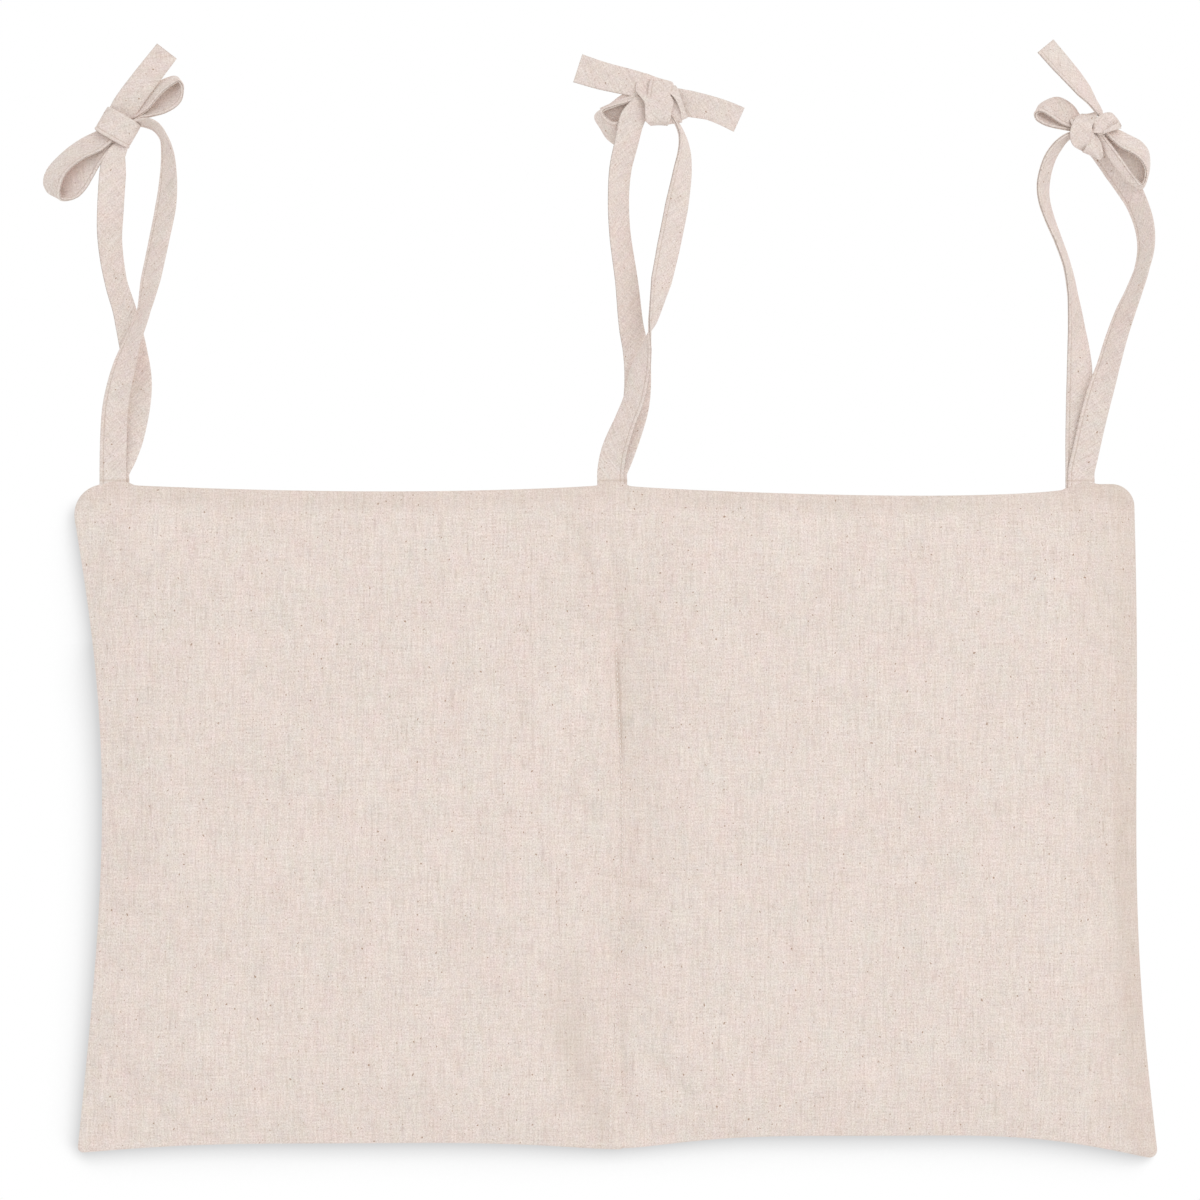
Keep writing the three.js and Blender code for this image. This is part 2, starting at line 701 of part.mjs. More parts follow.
const tieX = { left: leftTieX, centre: centreTieX, right: rightTieX };
const tieSet = new THREE.Group();
tieSet.position.z = -seamDrop;
for (const [side, drawn] of Object.entries(ties)) {
  const tie = scaledTie(drawn);
  const pair = new THREE.Group();
  pair.position.x = tieX[side];
  pair.add(node(`${side}_tie_tail_strap`, strap({ stations: tie.tail }), strapLinen));
  pair.add(node(`${side}_tie_bow_strap`, bowStrap(tie), strapLinen));
  tieSet.add(pair);
}

const cribBag = new THREE.Group();
cribBag.add(bag, tieSet);

export default cribBag;
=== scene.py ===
# %% [markdown]
# # A padded storage bag for the end of a crib
#
# The bag is a flat linen pillow with two pockets behind it. Three pairs of cloth straps are sewn
# into its top seam and tied into bows. It is seen from its plain back, lying flat, so almost all
# that the eye gets is cloth: a gently filled pillow, one stitched divider down the middle, and
# folded straps. Each piece here is a surface written as a formula over a small grid of numbers.

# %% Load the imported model
import math

import bpy
import numpy as np
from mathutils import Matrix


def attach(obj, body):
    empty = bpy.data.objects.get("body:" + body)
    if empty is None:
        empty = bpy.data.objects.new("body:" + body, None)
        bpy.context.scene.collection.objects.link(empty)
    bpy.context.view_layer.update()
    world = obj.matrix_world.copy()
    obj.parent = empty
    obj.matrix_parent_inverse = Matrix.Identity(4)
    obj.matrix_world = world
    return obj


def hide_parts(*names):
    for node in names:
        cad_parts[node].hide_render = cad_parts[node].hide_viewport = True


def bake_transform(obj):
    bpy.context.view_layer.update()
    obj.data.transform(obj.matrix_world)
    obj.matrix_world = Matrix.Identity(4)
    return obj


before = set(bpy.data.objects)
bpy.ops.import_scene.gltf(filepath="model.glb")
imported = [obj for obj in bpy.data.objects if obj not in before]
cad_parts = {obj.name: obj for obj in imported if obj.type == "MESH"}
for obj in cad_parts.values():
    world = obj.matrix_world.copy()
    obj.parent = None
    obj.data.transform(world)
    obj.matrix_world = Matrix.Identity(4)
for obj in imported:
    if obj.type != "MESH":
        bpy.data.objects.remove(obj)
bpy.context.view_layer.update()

scene = bpy.context.scene
rng = np.random.default_rng(7)
MM = 0.001

# %% [markdown]
# ## Camera and picture frame
#
# The photograph looks straight at the back of the bag, from far enough away that nothing seems to
# converge. A long lens does the same. One pixel of the 1200 pixel picture covers 0.56 mm of the
# bag, which fixes how far away the camera stands.

# %% Camera
PIXEL = 0.56 * MM
PICTURE = 1200
RAIL_PIXEL = (616, 165)  # where the origin of the model lies in the picture
AWAY = np.array([0.0, 1.0, 0.0])  # straight away from the camera


def across_at(pixel):
    """X in metres of a pixel column: its distance from the origin's column times the scale."""
    return (np.asarray(pixel, float) - RAIL_PIXEL[0]) * PIXEL


def height_at(pixel):
    """Z in metres of a pixel row: its height over the origin's row times the scale."""
    return (RAIL_PIXEL[1] - np.asarray(pixel, float)) * PIXEL


def seen_at(column, row, depth=0.0):
    """The point in mm, at a depth behind the seam plane, that the camera sees at a pixel: its
    distance from the picture's middle grows with its distance from the camera."""
    middle = (across_at(PICTURE / 2), height_at(PICTURE / 2))
    share = 1 + np.asarray(depth, float) * MM / distance
    x = middle[0] + (across_at(column) - middle[0]) * share
    z = middle[1] + (height_at(row) - middle[1]) * share
    return np.stack(np.broadcast_arrays(x / MM, depth, z / MM), -1)


lens_data = bpy.data.cameras.new("camera")
lens_data.lens = 120
lens_data.sensor_width = 36
distance = PICTURE * PIXEL * lens_data.lens / lens_data.sensor_width
camera = bpy.data.objects.new("camera", lens_data)
camera.location = (across_at(PICTURE / 2), -distance, height_at(PICTURE / 2))
camera.rotation_euler = (math.pi / 2, 0, 0)
scene.collection.objects.link(camera)
scene.camera = camera
scene.view_settings.view_transform = "Standard"
print(f"camera {distance:.2f} m away, picture {PICTURE * PIXEL:.3f} m wide")

# %% [markdown]
# ## Wiring shader nodes
#
# A finish is a graph of small nodes. One helper makes a node and fills its sockets: a number or a
# colour is written into a socket, and another node's output is wired to it. The arithmetic nodes
# are used so often that they get a shorter call of their own.

# %% Node helpers
WHITE = (1, 1, 1, 1)


def set_sockets(tree, node, sockets):
    """Write values into a node's sockets, and wire to them what is another node's output."""
    for socket, value in sockets.items():
        if isinstance(value, bpy.types.NodeSocket):
            tree.links.new(value, node.inputs[socket])
        else:
            node.inputs[socket].default_value = value


def wiring(tree):
    """Three functions for one graph: node makes a filled node, calc gives the result of one sum,
    product or the like, and span gives 0 at low, 1 at high and straight between."""

    def node(kind, sockets=None, **settings):
        made = tree.nodes.new("ShaderNode" + kind)
        for name, value in settings.items():
            setattr(made, name, value)
        set_sockets(tree, made, sockets or {})
        return made

    def calc(operation, *terms):
        return node("Math", dict(enumerate(terms)), operation=operation).outputs[0]

    def span(value, low, high, **settings):
        sockets = {"Value": value, "From Min": low, "From Max": high}
        return node("MapRange", sockets, **settings).outputs[0]

    return node, calc, span


print("node helpers ready")

# %% [markdown]
# ## Light
#
# The cloth is lit almost evenly. The valley of the divider is a little lighter on its left slope
# than on its right one, and the shadow falls to the lower left, so there is one broad soft lamp
# high on the right and a pale sky that fills in the rest. The white behind the bag is only what the
# camera sees of the sky: the light that reaches the cloth is weaker than that.

# %% Sky and lamps
FILL = 0.95  # light from the sky on the cloth
LAMP_SIZE = 2.0
LAMPS = {"front_lamp": ((2.1, -3.2, 1.1), 21.4), "rear_lamp": ((2.0, 3.2, 1.1), 22)}  # place, watts
LIT_MIDDLE = (0, 0, -0.3)  # the point that both lamps look at


def studio_sky():
    """A weak even sky for the cloth, and white for camera, mirror and glass rays."""
    world = bpy.data.worlds.new("studio")
    world.use_nodes = True
    world.node_tree.nodes.clear()
    node, calc, _ = wiring(world.node_tree)
    ray = node("LightPath").outputs
    seen = calc("MAXIMUM", ray["Is Glossy Ray"], ray["Is Transmission Ray"])
    seen = calc("MAXIMUM", ray["Is Camera Ray"], seen)
    weak = node("Background", {"Color": WHITE, "Strength": FILL}).outputs[0]
    white = node("Background", {"Color": WHITE, "Strength": 1.0}).outputs[0]
    node("OutputWorld", {"Surface": node("MixShader", {0: seen, 1: weak, 2: white}).outputs[0]})
    return world


def soft_lamp(name, place, look_at, size, watts):
    """A square area lamp at a place, turned to look at a point."""
    data = bpy.data.lights.new(name, "AREA")
    data.energy = watts
    data.size = size
    lamp = bpy.data.objects.new(name, data)
    lamp.location = place
    way = np.subtract(look_at, place)
    flat = math.hypot(way[0], way[1])
    lamp.rotation_euler = (math.atan2(flat, -way[2]), 0, math.atan2(-way[0], way[1]))
    scene.collection.objects.link(lamp)


scene.world = studio_sky()
for name, (place, watts) in LAMPS.items():
    soft_lamp(name, place, LIT_MIDDLE, LAMP_SIZE, watts)
print("sky", FILL, "and", len(LAMPS), "lamps")

# %% [markdown]
# ## A floor that only holds the shadow
#
# The bag lies on white paper and leaves a soft grey shadow along its left side and its foot. The
# paper is one plane just behind the seam. It is clear wherever nothing is near it, and grey where an
# ambient occlusion ray, leaning to the upper right, meets the bag. So the shadow follows the bag
# when it moves. Rays straight back find where the bag has swung behind the paper, which is clear
# there too, so it never hides the bag.

# %% Shadow paper
PAPER_DEPTH = 0.004
PAPER_COLUMNS, PAPER_ROWS = (-200, 1400), (1400, 485)  # left and right, foot and top
FADE_ROWS = (490, 518)  # no shadow above the first, and the whole of it below the second
SHADOW_GREY = (0.45, 0.45, 0.455, 1)
SHADOW_LEAN, SHADOW_REACH, RAYS = (0.62, -0.62, 0.62), 0.036, 24
SHADOW_START, SHADOW_FALL, SHADOW_DEPTH, SHADOW_MOST = 0.836, 0.67, 0.98, 0.62
BEHIND_REACH, BEHIND_OPEN = 0.15, (0.38, 0.58)


def shadow_finish():
    """Clear, with grey where rays about the lean are blocked. The grey is the depth times (what
    openness lacks of the start, as a share of it) to the power of the fall, up to a most."""
    material = bpy.data.materials.new("shadow_paper")
    material.use_nodes = True
    material.node_tree.nodes.clear()
    node, calc, span = wiring(material.node_tree)

    def openness(lean, reach):
        """The share of the rays about a direction that meet nothing within a reach."""
        way = node("CombineXYZ", dict(zip("XYZ", lean))).outputs[0]
        return node("AmbientOcclusion", {"Distance": reach, "Normal": way}, samples=RAYS).outputs["AO"]

    place = node("NewGeometry").outputs
    height = node("SeparateXYZ", {0: place["Position"]}).outputs["Z"]
    share = calc("POWER", span(openness(SHADOW_LEAN, SHADOW_REACH), SHADOW_START, 0.0), SHADOW_FALL)
    share = calc("MINIMUM", calc("MULTIPLY", share, SHADOW_DEPTH), SHADOW_MOST)
    for gate in (
        span(height, *height_at(FADE_ROWS), interpolation_type="SMOOTHSTEP"),
        span(openness(AWAY, BEHIND_REACH), *BEHIND_OPEN),
        node("LightPath").outputs["Is Camera Ray"],
        calc("SUBTRACT", 1.0, place["Backfacing"]),
    ):
        share = calc("MULTIPLY", share, gate)
    clear = node("BsdfTransparent").outputs[0]
    grey = node("Emission", {"Color": SHADOW_GREY}).outputs[0]
    node("OutputMaterial", {"Surface": node("MixShader", {0: share, 1: clear, 2: grey}).outputs[0]})
    return material


def shadow_paper():
    """A vertical rectangle just behind the seam, which throws no shadow itself."""
    (left, right), (foot, top) = across_at(PAPER_COLUMNS), height_at(PAPER_ROWS)
    mesh = bpy.data.meshes.new("shadow_paper")
    corners = [(x, PAPER_DEPTH, z) for x, z in ((left, foot), (right, foot), (right, top), (left, top))]
    mesh.from_pydata(corners, [], [(0, 1, 2, 3)])
    mesh.materials.append(shadow_finish())
    paper = bpy.data.objects.new("shadow_paper", mesh)
    scene.collection.objects.link(paper)
    paper.visible_shadow = False


shadow_paper()
print("shadow paper", PAPER_DEPTH, "m behind the seam plane")

# %% [markdown]
# ## Linen
#
# Linen yarn is uneven, so the cloth is never one colour. Along the warp run long thin streaks where
# a yarn thickens, across the weft run shorter ones, and here and there sits a brown speck of husk.
# All of it is noise stretched along one direction, read from a UV map that holds the cut cloth in
# metres. The straps are cut on the bias, so for them the same cloth is turned by 45 degrees.

# %% Linen material
BODY_LINEN = (0.768, 0.670, 0.612)
STRAP_LINEN = (0.750, 0.651, 0.598)
LINING_LINEN = (0.800, 0.715, 0.655)
# the second brown is painted shade in folds, seams and strap edges, and the darker tint where the bag's
# cloth turns in at its edges
HUSK, SHADE_AND_EDGE_BROWN = (0.40, 0.27, 0.20, 1), (0.55, 0.44, 0.36, 1)
FLECK_SHARE, HUSK_SHARE, SHADE_AND_EDGE_SHARE = 0.5, 0.9, 0.6
BLOTS = {  # across and along in mm, detail, roughness and place of each noise
    "warp": (1.1, 16, 3.0, 0.62, 3.1),
    "weft": (11, 1.0, 3.0, 0.62, 17.3),
    "grain": (0.8, 0.95, 1.0, 0.6, 29.9),
    "cloud": (34, 44, 2.0, 0.5, 41.7),
    "patch": (9, 17, 2.0, 0.6, 97.3),
    "warp_slub": (1.3, 13, 2.0, 0.5, 53.1),
    "weft_slub": (9, 1.2, 2.0, 0.5, 67.9),
    "fleck": (1.1, 1.5, 1.0, 0.5, 83.3),
    "husk": (2.2, 2.6, 1.0, 0.5, 113.9),
    "long_warp": (2.4, 70, 2.0, 0.6, 131.1),
    "long_weft": (60, 2.4, 2.0, 0.6, 149.7),
    "rosy": (22, 30, 4.0, 0.95, 163.9),
    "yellow": (7, 10, 2.0, 0.95, 179.3),
}
TONE = {"warp": 0.13, "weft": 0.105, "grain": 0.26, "cloud": 0.03, "long_warp": 0.045, "long_weft": 0.035}
SPANS = {  # what is left of a noise: 0 below the first number, 1 above the second
    "patch": (-0.25, 0.45),
    "warp_slub": (0.16, 0.56),
    "weft_slub": (0.22, 0.62),
    "fleck": (0.40, 0.56),
    "husk": (0.60, 0.64),
}
SLUB_TONE, WEFT_SLUB_SHARE, DOT_FLOOR, DOT_GAIN = -0.19, 0.8, 0.55, 1.6
SLUB_FLOOR, FLECK_FLOOR = 0.45, 0.35  # what is left of them between the patches
RELIEF_STRENGTH, RELIEF_HEIGHT = 0.35, 0.12 * MM
TONED, ROSIER, YELLOWER = (0.74, 0.735, 0.715), (0.038, -0.027, -0.014), (0.010, 0.010, -0.021)
MATT = {"Roughness": 0.95, "Specular IOR Level": 0.15, "Sheen Weight": 0.08, "Sheen Roughness": 0.5}


def linen(name, colour, turn=0.0, contrast=1.0):
    """Matt cloth: base colour + streaks along the warp + streaks along the weft + grain - slubs
    + patches of rosier and of yellower yarn, then brown husks, and painted shade: a browner tint
    where the shade_and_edge_tint attribute marks folds, seams and strap edges. On the bag the
    same brown also darkens the cloth where it turns in. The same pattern makes a fine bump."""
    material = bpy.data.materials.new(name)
    material.use_nodes = True
    tree = material.node_tree
    node, calc, span = wiring(tree)
    cut = node("UVMap", uv_map="cloth").outputs[0]
    turned = node("Mapping", {"Vector": cut, "Rotation": (0, 0, math.radians(turn))}).outputs[0]

    def blots(across_mm, along_mm, detail, roughness, shift):
        """Noise whose blots are across_mm wide and along_mm long, from -1 to 1."""
        scale = (1 / (across_mm * MM), 1 / (along_mm * MM), 1)
        moved = {"Vector": turned, "Scale": scale, "Location": (shift, shift * 0.7, 0)}
        place = node("Mapping", moved).outputs[0]
        sockets = {"Vector": place, "Scale": 1.0, "Detail": detail, "Roughness": roughness}
        noise = node("TexNoise", sockets, noise_dimensions="2D").outputs[0]
        return node("MapRange", {"Value": noise, "To Min": -1.0}, clamp=False).outputs[0]

    def mul(a, b):
        return calc("MULTIPLY", a, b)

    def add(a, b):
        return calc("ADD", a, b)

    noise = {part: blots(*size) for part, size in BLOTS.items()}
    for part, limits in SPANS.items():
        noise[part] = span(noise[part], *limits)
    slub = add(noise["warp_slub"], mul(noise["weft_slub"], WEFT_SLUB_SHARE))
    slub = mul(slub, add(DOT_FLOOR, mul(noise["grain"], DOT_GAIN)))
    tone = mul(mul(slub, add(SLUB_FLOOR, noise["patch"])), SLUB_TONE)
    for part, weight in TONE.items():
        tone = add(tone, mul(noise[part], weight))
    toned = colour
    changes = (mul(tone, contrast), TONED), (noise["rosy"], ROSIER), (noise["yellow"], YELLOWER)
    for amount, change in changes:
        toned = node("VectorMath", {0: amount, 1: change, 2: toned}, operation="MULTIPLY_ADD").outputs[0]
    flecks = mul(mul(noise["fleck"], FLECK_SHARE), add(FLECK_FLOOR, noise["patch"]))
    specks = add(flecks, mul(noise["husk"], HUSK_SHARE))
    # painted shade: the brown goes where the attribute marks folds, seams and strap edges
    shade_and_edge_tint = mul(node("Attribute", attribute_name="shade_and_edge_tint").outputs["Fac"], SHADE_AND_EDGE_SHARE)
    for share, brown in ((specks, HUSK), (shade_and_edge_tint, SHADE_AND_EDGE_BROWN)):
        toned = node("Mix", {"Factor": share, "A": toned, "B": brown}, data_type="RGBA").outputs["Result"]
    weave = add(add(noise["warp"], noise["weft"]), noise["grain"])
    sockets = {"Strength": RELIEF_STRENGTH, "Distance": RELIEF_HEIGHT, "Height": weave}
    relief = node("Bump", sockets).outputs[0]
    set_sockets(tree, tree.nodes["Principled BSDF"], {"Base Color": toned, "Normal": relief, **MATT})
    return material


body_linen = linen("body_linen", BODY_LINEN)
strap_linen = linen("strap_linen", STRAP_LINEN, turn=45, contrast=0.95)
lining_linen = linen("lining_linen", LINING_LINEN, contrast=0.8)
print("materials:", [m.name for m in (body_linen, strap_linen, lining_linen)])

# %% [markdown]
# ## Sewing thread
#
# The thread is a shade paler than the cloth and has a soft twist, which shows only as a stripe of
# light and dark along each stitch.

# %% Thread material
THREAD_DARK, THREAD_LIGHT = (0.78, 0.70, 0.64, 1), (0.89, 0.82, 0.76, 1)
PLIES = {"Scale": 420, "Distortion": 1.5}


def sewing_thread():
    """Pale cotton whose plies are slanted stripes on Object coordinates."""
    material = bpy.data.materials.new("sewing_thread")
    material.use_nodes = True
    tree = material.node_tree
    node = wiring(tree)[0]
    place = node("TexCoord").outputs["Object"]
    plies = node("TexWave", {"Vector": place, **PLIES}, bands_direction="DIAGONAL").outputs["Fac"]
    tint = node("ValToRGB", {0: plies})
    tint.color_ramp.elements[0].color = THREAD_DARK
    tint.color_ramp.elements[1].color = THREAD_LIGHT
    set_sockets(tree, tree.nodes["Principled BSDF"], {"Base Color": tint.outputs[0], "Roughness": 0.8})
    return material


thread = sewing_thread()
print("material:", thread.name)

# %% [markdown]
# ## Grids of numbers
#
# A sheet of cloth is a grid of points, and a strap is a ring of points carried along a path. Both
# are arrays, and the faces between neighbours are worked out from the array's shape.

# %% Mesh helpers


def quads_of(rows, columns, close_columns=False, close_rows=False):
    """Corner numbers of the cells of a rows x columns grid, its ends joined up where it is closed."""
    row = np.arange(rows if close_rows else rows - 1)[:, None]
    column = np.arange(columns if close_columns else columns - 1)[None, :]
    right, here, below = (column + 1) % columns, row * columns, (row + 1) % rows * columns
    corners = [here + column, here + right, below + right, below + column]
    return np.stack(np.broadcast_arrays(*corners), -1).reshape(-1, 4)


def walked(line):
    """How far along a line of points each of them lies from the first."""
    return np.concatenate([[0], np.cumsum(np.linalg.norm(np.diff(line, axis=0), axis=1))])


def circle(count):
    """The angles of points spread evenly round a circle."""
    return np.arange(count) * 2 * np.pi / count


def unit(vectors):
    return vectors / np.linalg.norm(vectors, axis=-1, keepdims=True)


def bell(distance, width, power=2):
    """1 at no distance, and falling off on both sides as e to the minus (distance / width)^power."""
    return np.exp(-((distance / width) ** power))


def smooth(x, low, high):
    """0 up to low, 1 from high on, and level at both."""
    t = np.clip((x - low) / (high - low), 0, 1)
    return t * t * (3 - 2 * t)


def fading(distance, reach):
    """1 on the left of a line, and falling off on its right as e to the minus distance / reach."""
    return np.exp(-np.clip(distance, 0, None) / reach)


def blend(a, b, t):
    return a + (b - a) * t


def cloth_mesh(name, points, faces, cut, material, shade_and_edge_tint=None):
    """A smooth mesh object from points (n, 3) and faces (m, 4). The flat place of each point on the
    cut cloth, in metres, becomes the UV map named cloth. shade_and_edge_tint, from 0 to 1, marks
    where shade is painted, and on the bag also where the cloth turns in at its edges."""
    mesh = bpy.data.meshes.new(name)
    mesh.from_pydata(np.asarray(points, float).tolist(), [], np.asarray(faces).tolist())
    mesh.polygons.foreach_set("use_smooth", np.ones(len(mesh.polygons), bool))
    corner = np.zeros(len(mesh.loops), np.int32)
    mesh.loops.foreach_get("vertex_index", corner)
    layer = mesh.uv_layers.new(name="cloth")
    layer.data.foreach_set("uv", np.asarray(cut, np.float32)[corner].ravel())
    if shade_and_edge_tint is not None:
        marks = mesh.attributes.new("shade_and_edge_tint", "FLOAT", "POINT")
        marks.data.foreach_set("value", np.asarray(shade_and_edge_tint, np.float32).ravel())
    mesh.materials.append(material)
    mesh.update()
    piece = bpy.data.objects.new(name, mesh)
    scene.collection.objects.link(piece)
    return piece


def volume_of(points, faces):
    """Signed volume of a closed mesh of quads: the sum of the tetrahedra from the origin."""
    a, b, c, d = (points[faces[:, k]] for k in range(4))
    return np.einsum("ij,ij->", a, np.cross(b, c) + np.cross(c, d)) / 6


def outward(points, faces):
    """The same faces, turned over if the closed mesh is inside out."""
    return faces[:, ::-1] if volume_of(points, faces) < 0 else faces


print("helpers ready")

# %% [markdown]
# ## The outline of the bag
#
# The filling draws the two sides in, the corners are rounded at the top and pointed at the foot,
# and the top edge hangs between the ties, lowest nearer to the right one of each two. The outline
# is a function of two numbers: u runs from the left side to the right, and v from the top seam to
# the foot. The sizes are those of the solid model.

# %% Outline
SEAM_DROP, BAG_HEIGHT = 180, 370.6
TOP_WIDTH, FOOT_WIDTH = 593.6, 602.4
TOP_SHIFT, FOOT_SHIFT = -8.1, 1
DRAW_IN = {"left": (16, 1.2), "right": (5.4, -2.1)}  # heights of half a wave and of a full one
TOP_SAGS = [("left", "centre", 4.1, 1.15, 0.7), ("centre", "right", 6.5, 1.65, 0.4)]  # mm, lean, fullness
FOOT_ARCHES = (5.4, 0, 1.2), (12.3, 0.08, 4.8)  # rise, lean and drop of the corner, left and right
FOOT_FLATNESS = 0.13
CORNER_RADII = {("left", "top"): 19, ("right", "top"): 11, ("left", "foot"): 2, ("right", "foot"): 4.5}
TIE_X = {"left": -281.4, "centre": -2.4, "right": 260.0}
TIE_LIFT, LIFT_REACH = 2.2, 7.0  # the straps draw the seam up
LIFT_SHIFT = {"left": 2.5, "centre": 1.0, "right": -0.5}
TIP_ROUND, TIP_REACH = 9.0, 30  # how blunt the foot's tip at the divider is, and how far that goes

TOP_LEFT, TOP_RIGHT = TOP_SHIFT - TOP_WIDTH / 2, TOP_SHIFT + TOP_WIDTH / 2
FOOT_LEFT, FOOT_RIGHT = FOOT_SHIFT - FOOT_WIDTH / 2, FOOT_SHIFT + FOOT_WIDTH / 2


def waves(t, *heights):
    """Half a wave, a full wave, one and a half waves and so on between 0 and 1, added up."""
    return sum(height * np.sin((k + 1) * np.pi * t) for k, height in enumerate(heights))


def left_side(v):
    return blend(TOP_LEFT, FOOT_LEFT, v) + waves(v, *DRAW_IN["left"])


def right_side(v):
    return blend(TOP_RIGHT, FOOT_RIGHT, v) - waves(v, *DRAW_IN["right"])


DIVIDER_X = 3
MID_WIDTH = float(right_side(0.5) - left_side(0.5))
DIVIDER_U = (DIVIDER_X - float(left_side(0.5))) / MID_WIDTH


def top_edge(u):
    """Between two ties: half a wave of (share of the way) to the power of the lean, flattened by
    the fullness. At each tie a short lift: a bell of the fourth power."""
    x = blend(TOP_LEFT, TOP_RIGHT, u)
    z = np.zeros_like(x)
    for first, last, sag, lean, fullness in TOP_SAGS:
        share = np.clip((x - TIE_X[first]) / (TIE_X[last] - TIE_X[first]), 0, 1)
        z = z - sag * np.maximum(0, np.sin(np.pi * share**lean)) ** fullness
    for tie, place in TIE_X.items():
        z = z + TIE_LIFT * bell(x - place - LIFT_SHIFT[tie], LIFT_REACH, 4)
    return z


def foot_edge(u):
    """Each half of the foot is an arch between its corner and the divider, where the distance d is
    softened to the root of d squared and a small bell squared."""
    on_left = u < DIVIDER_U
    away = (u - DIVIDER_U) * MID_WIDTH
    away = np.hypot(away, TIP_ROUND * bell(away, TIP_REACH)) / MID_WIDTH
    share = np.clip(1 - away / np.where(on_left, DIVIDER_U, 1 - DIVIDER_U), 0, 1)
    rise, lean, drop = (np.where(on_left, left, right) for left, right in zip(*FOOT_ARCHES))
    return -BAG_HEIGHT - drop * (1 - share) + rise * waves(share, 1, lean, FOOT_FLATNESS)


def outline_place(u, v):
    """X and Z in mm of a point of the cloth. In the square of side r at a corner, the distances a
    and b from the two edges are pulled in so that the corner becomes an arc of radius r."""
    left, top = u < 0.5, v < 0.5
    at_left = np.where(top, CORNER_RADII["left", "top"], CORNER_RADII["left", "foot"])
    at_right = np.where(top, CORNER_RADII["right", "top"], CORNER_RADII["right", "foot"])
    radius = np.where(left, at_left, at_right)
    a = np.where(left, u, 1 - u) * MID_WIDTH
    b = np.where(top, v, 1 - v) * BAG_HEIGHT
    corner = (a < radius) & (b < radius)
    p, q = 1 - np.minimum(a / radius, 1), 1 - np.minimum(b / radius, 1)
    a = np.where(corner, radius * (1 - p * np.sqrt(1 - q * q / 2)), a)
    b = np.where(corner, radius * (1 - q * np.sqrt(1 - p * p / 2)), b)
    u = np.where(left, a / MID_WIDTH, 1 - a / MID_WIDTH)
    v = np.where(top, b / BAG_HEIGHT, 1 - b / BAG_HEIGHT)
    x = blend(left_side(v), right_side(v), u)
    z = blend(top_edge(u), foot_edge(u), v) - SEAM_DROP
    return x, z


print(f"bag {MID_WIDTH:.0f} mm wide at mid height, divider at u = {DIVIDER_U:.3f}")

# %% [markdown]
# ## How full it is
#
# The filling stands highest in the middle of each half and runs out to nothing in the seams, like
# a quarter wave. The divider stitching, which starts where the pockets start, takes most of the
# height away along its line.

# %% Fullness
EDGE_RADIUS = 1.35
BACK_CROWN, FRONT_CROWN = 10.5, 3.5
EDGE_ROLL, DIVIDER_ROLL = 45, 36
POCKET_HEADROOM = 86
BACK_PINCH = 0.62
TIGHT, FRONT_PINCH, HEAD_PINCH = 0.75, 0.85, 0.15


def roll(distance, reach, power=TIGHT):
    """A quarter wave to a power: from nothing at the seam to level at the reach."""
    return np.sin(np.pi / 2 * np.clip(distance / reach, 0, 1)) ** power


def crown_share(u, v, power=TIGHT, deepest=FRONT_PINCH):
    """The share of the full height: the product of the rolls at the four seams, less the pinch of the
    divider. The pocket side is pulled tight, and the back leaves its seams at a slant (power 1)."""
    sides = roll(u * MID_WIDTH, EDGE_ROLL, power) * roll((1 - u) * MID_WIDTH, EDGE_ROLL, power)
    ends = roll(v * BAG_HEIGHT, EDGE_ROLL, power) * roll((1 - v) * BAG_HEIGHT, EDGE_ROLL, power)
    pinch = blend(HEAD_PINCH, deepest, smooth(v * BAG_HEIGHT, 0, POCKET_HEADROOM))
    away = roll(np.abs(u - DIVIDER_U) * MID_WIDTH, DIVIDER_ROLL, power)
    return sides * ends * (1 - pinch * (1 - away))


def front_depth(u, v):
    """Depth in mm of the pocket side of the bag."""
    return EDGE_RADIUS + FRONT_CROWN * crown_share(u, v)


print(f"fullness at the middle of the left half: {crown_share(0.25, 0.5):.2f}")

# %% [markdown]
# ## Filling the pillow
#
# A sewn pillow is two flat sheets whose edges are held while the filling pushes them apart. That is
# what the cloth simulation does here: the two sheets start a little flatter than the finished bag,
# the outline and the divider stitches are pinned, and pressure blows up the back. What comes out is
# only how far each point moved, which is then added to the finely drawn cloth. The recipe often
# used for cushions remeshes first; a regular grid is kept here, so that the seams stay where they
# are.

# %% Simulate the filling
SIM_CELL = 4.6  # mm
SIM_STEPS = 20
FIRST_CROWN = 0.86  # the share of its height that the back starts with
MOST_MOVE = 3.0  # mm that the simulation may move a point
SEWN = "sewn"  # the points that are held
CLOTH = {
    "quality": 6,
    "mass": 0.15,
    "tension_stiffness": 18,
    "compression_stiffness": 18,
    "bending_stiffness": 0.4,
    "vertex_group_mass": SEWN,
    "shrink_min": -0.012,
    "use_pressure": True,
    "uniform_pressure_force": 4,
}
LEAVE = math.radians(20)  # the slant at which the back leaves the seam
BEAD = EDGE_RADIUS / (1 - math.sin(LEAVE))
BEAD_DEPTH = BEAD * math.cos(LEAVE)  # from the middle of the seam to the rim of the back


def even_lines(cell):
    """Grid lines in u with one exactly on the divider, and in v."""
    left = np.linspace(0, DIVIDER_U, round(DIVIDER_U * MID_WIDTH / cell) + 1)
    right = np.linspace(DIVIDER_U, 1, round((1 - DIVIDER_U) * MID_WIDTH / cell) + 1)
    return np.concatenate([left, right[1:]]), np.linspace(0, 1, round(BAG_HEIGHT / cell) + 1)


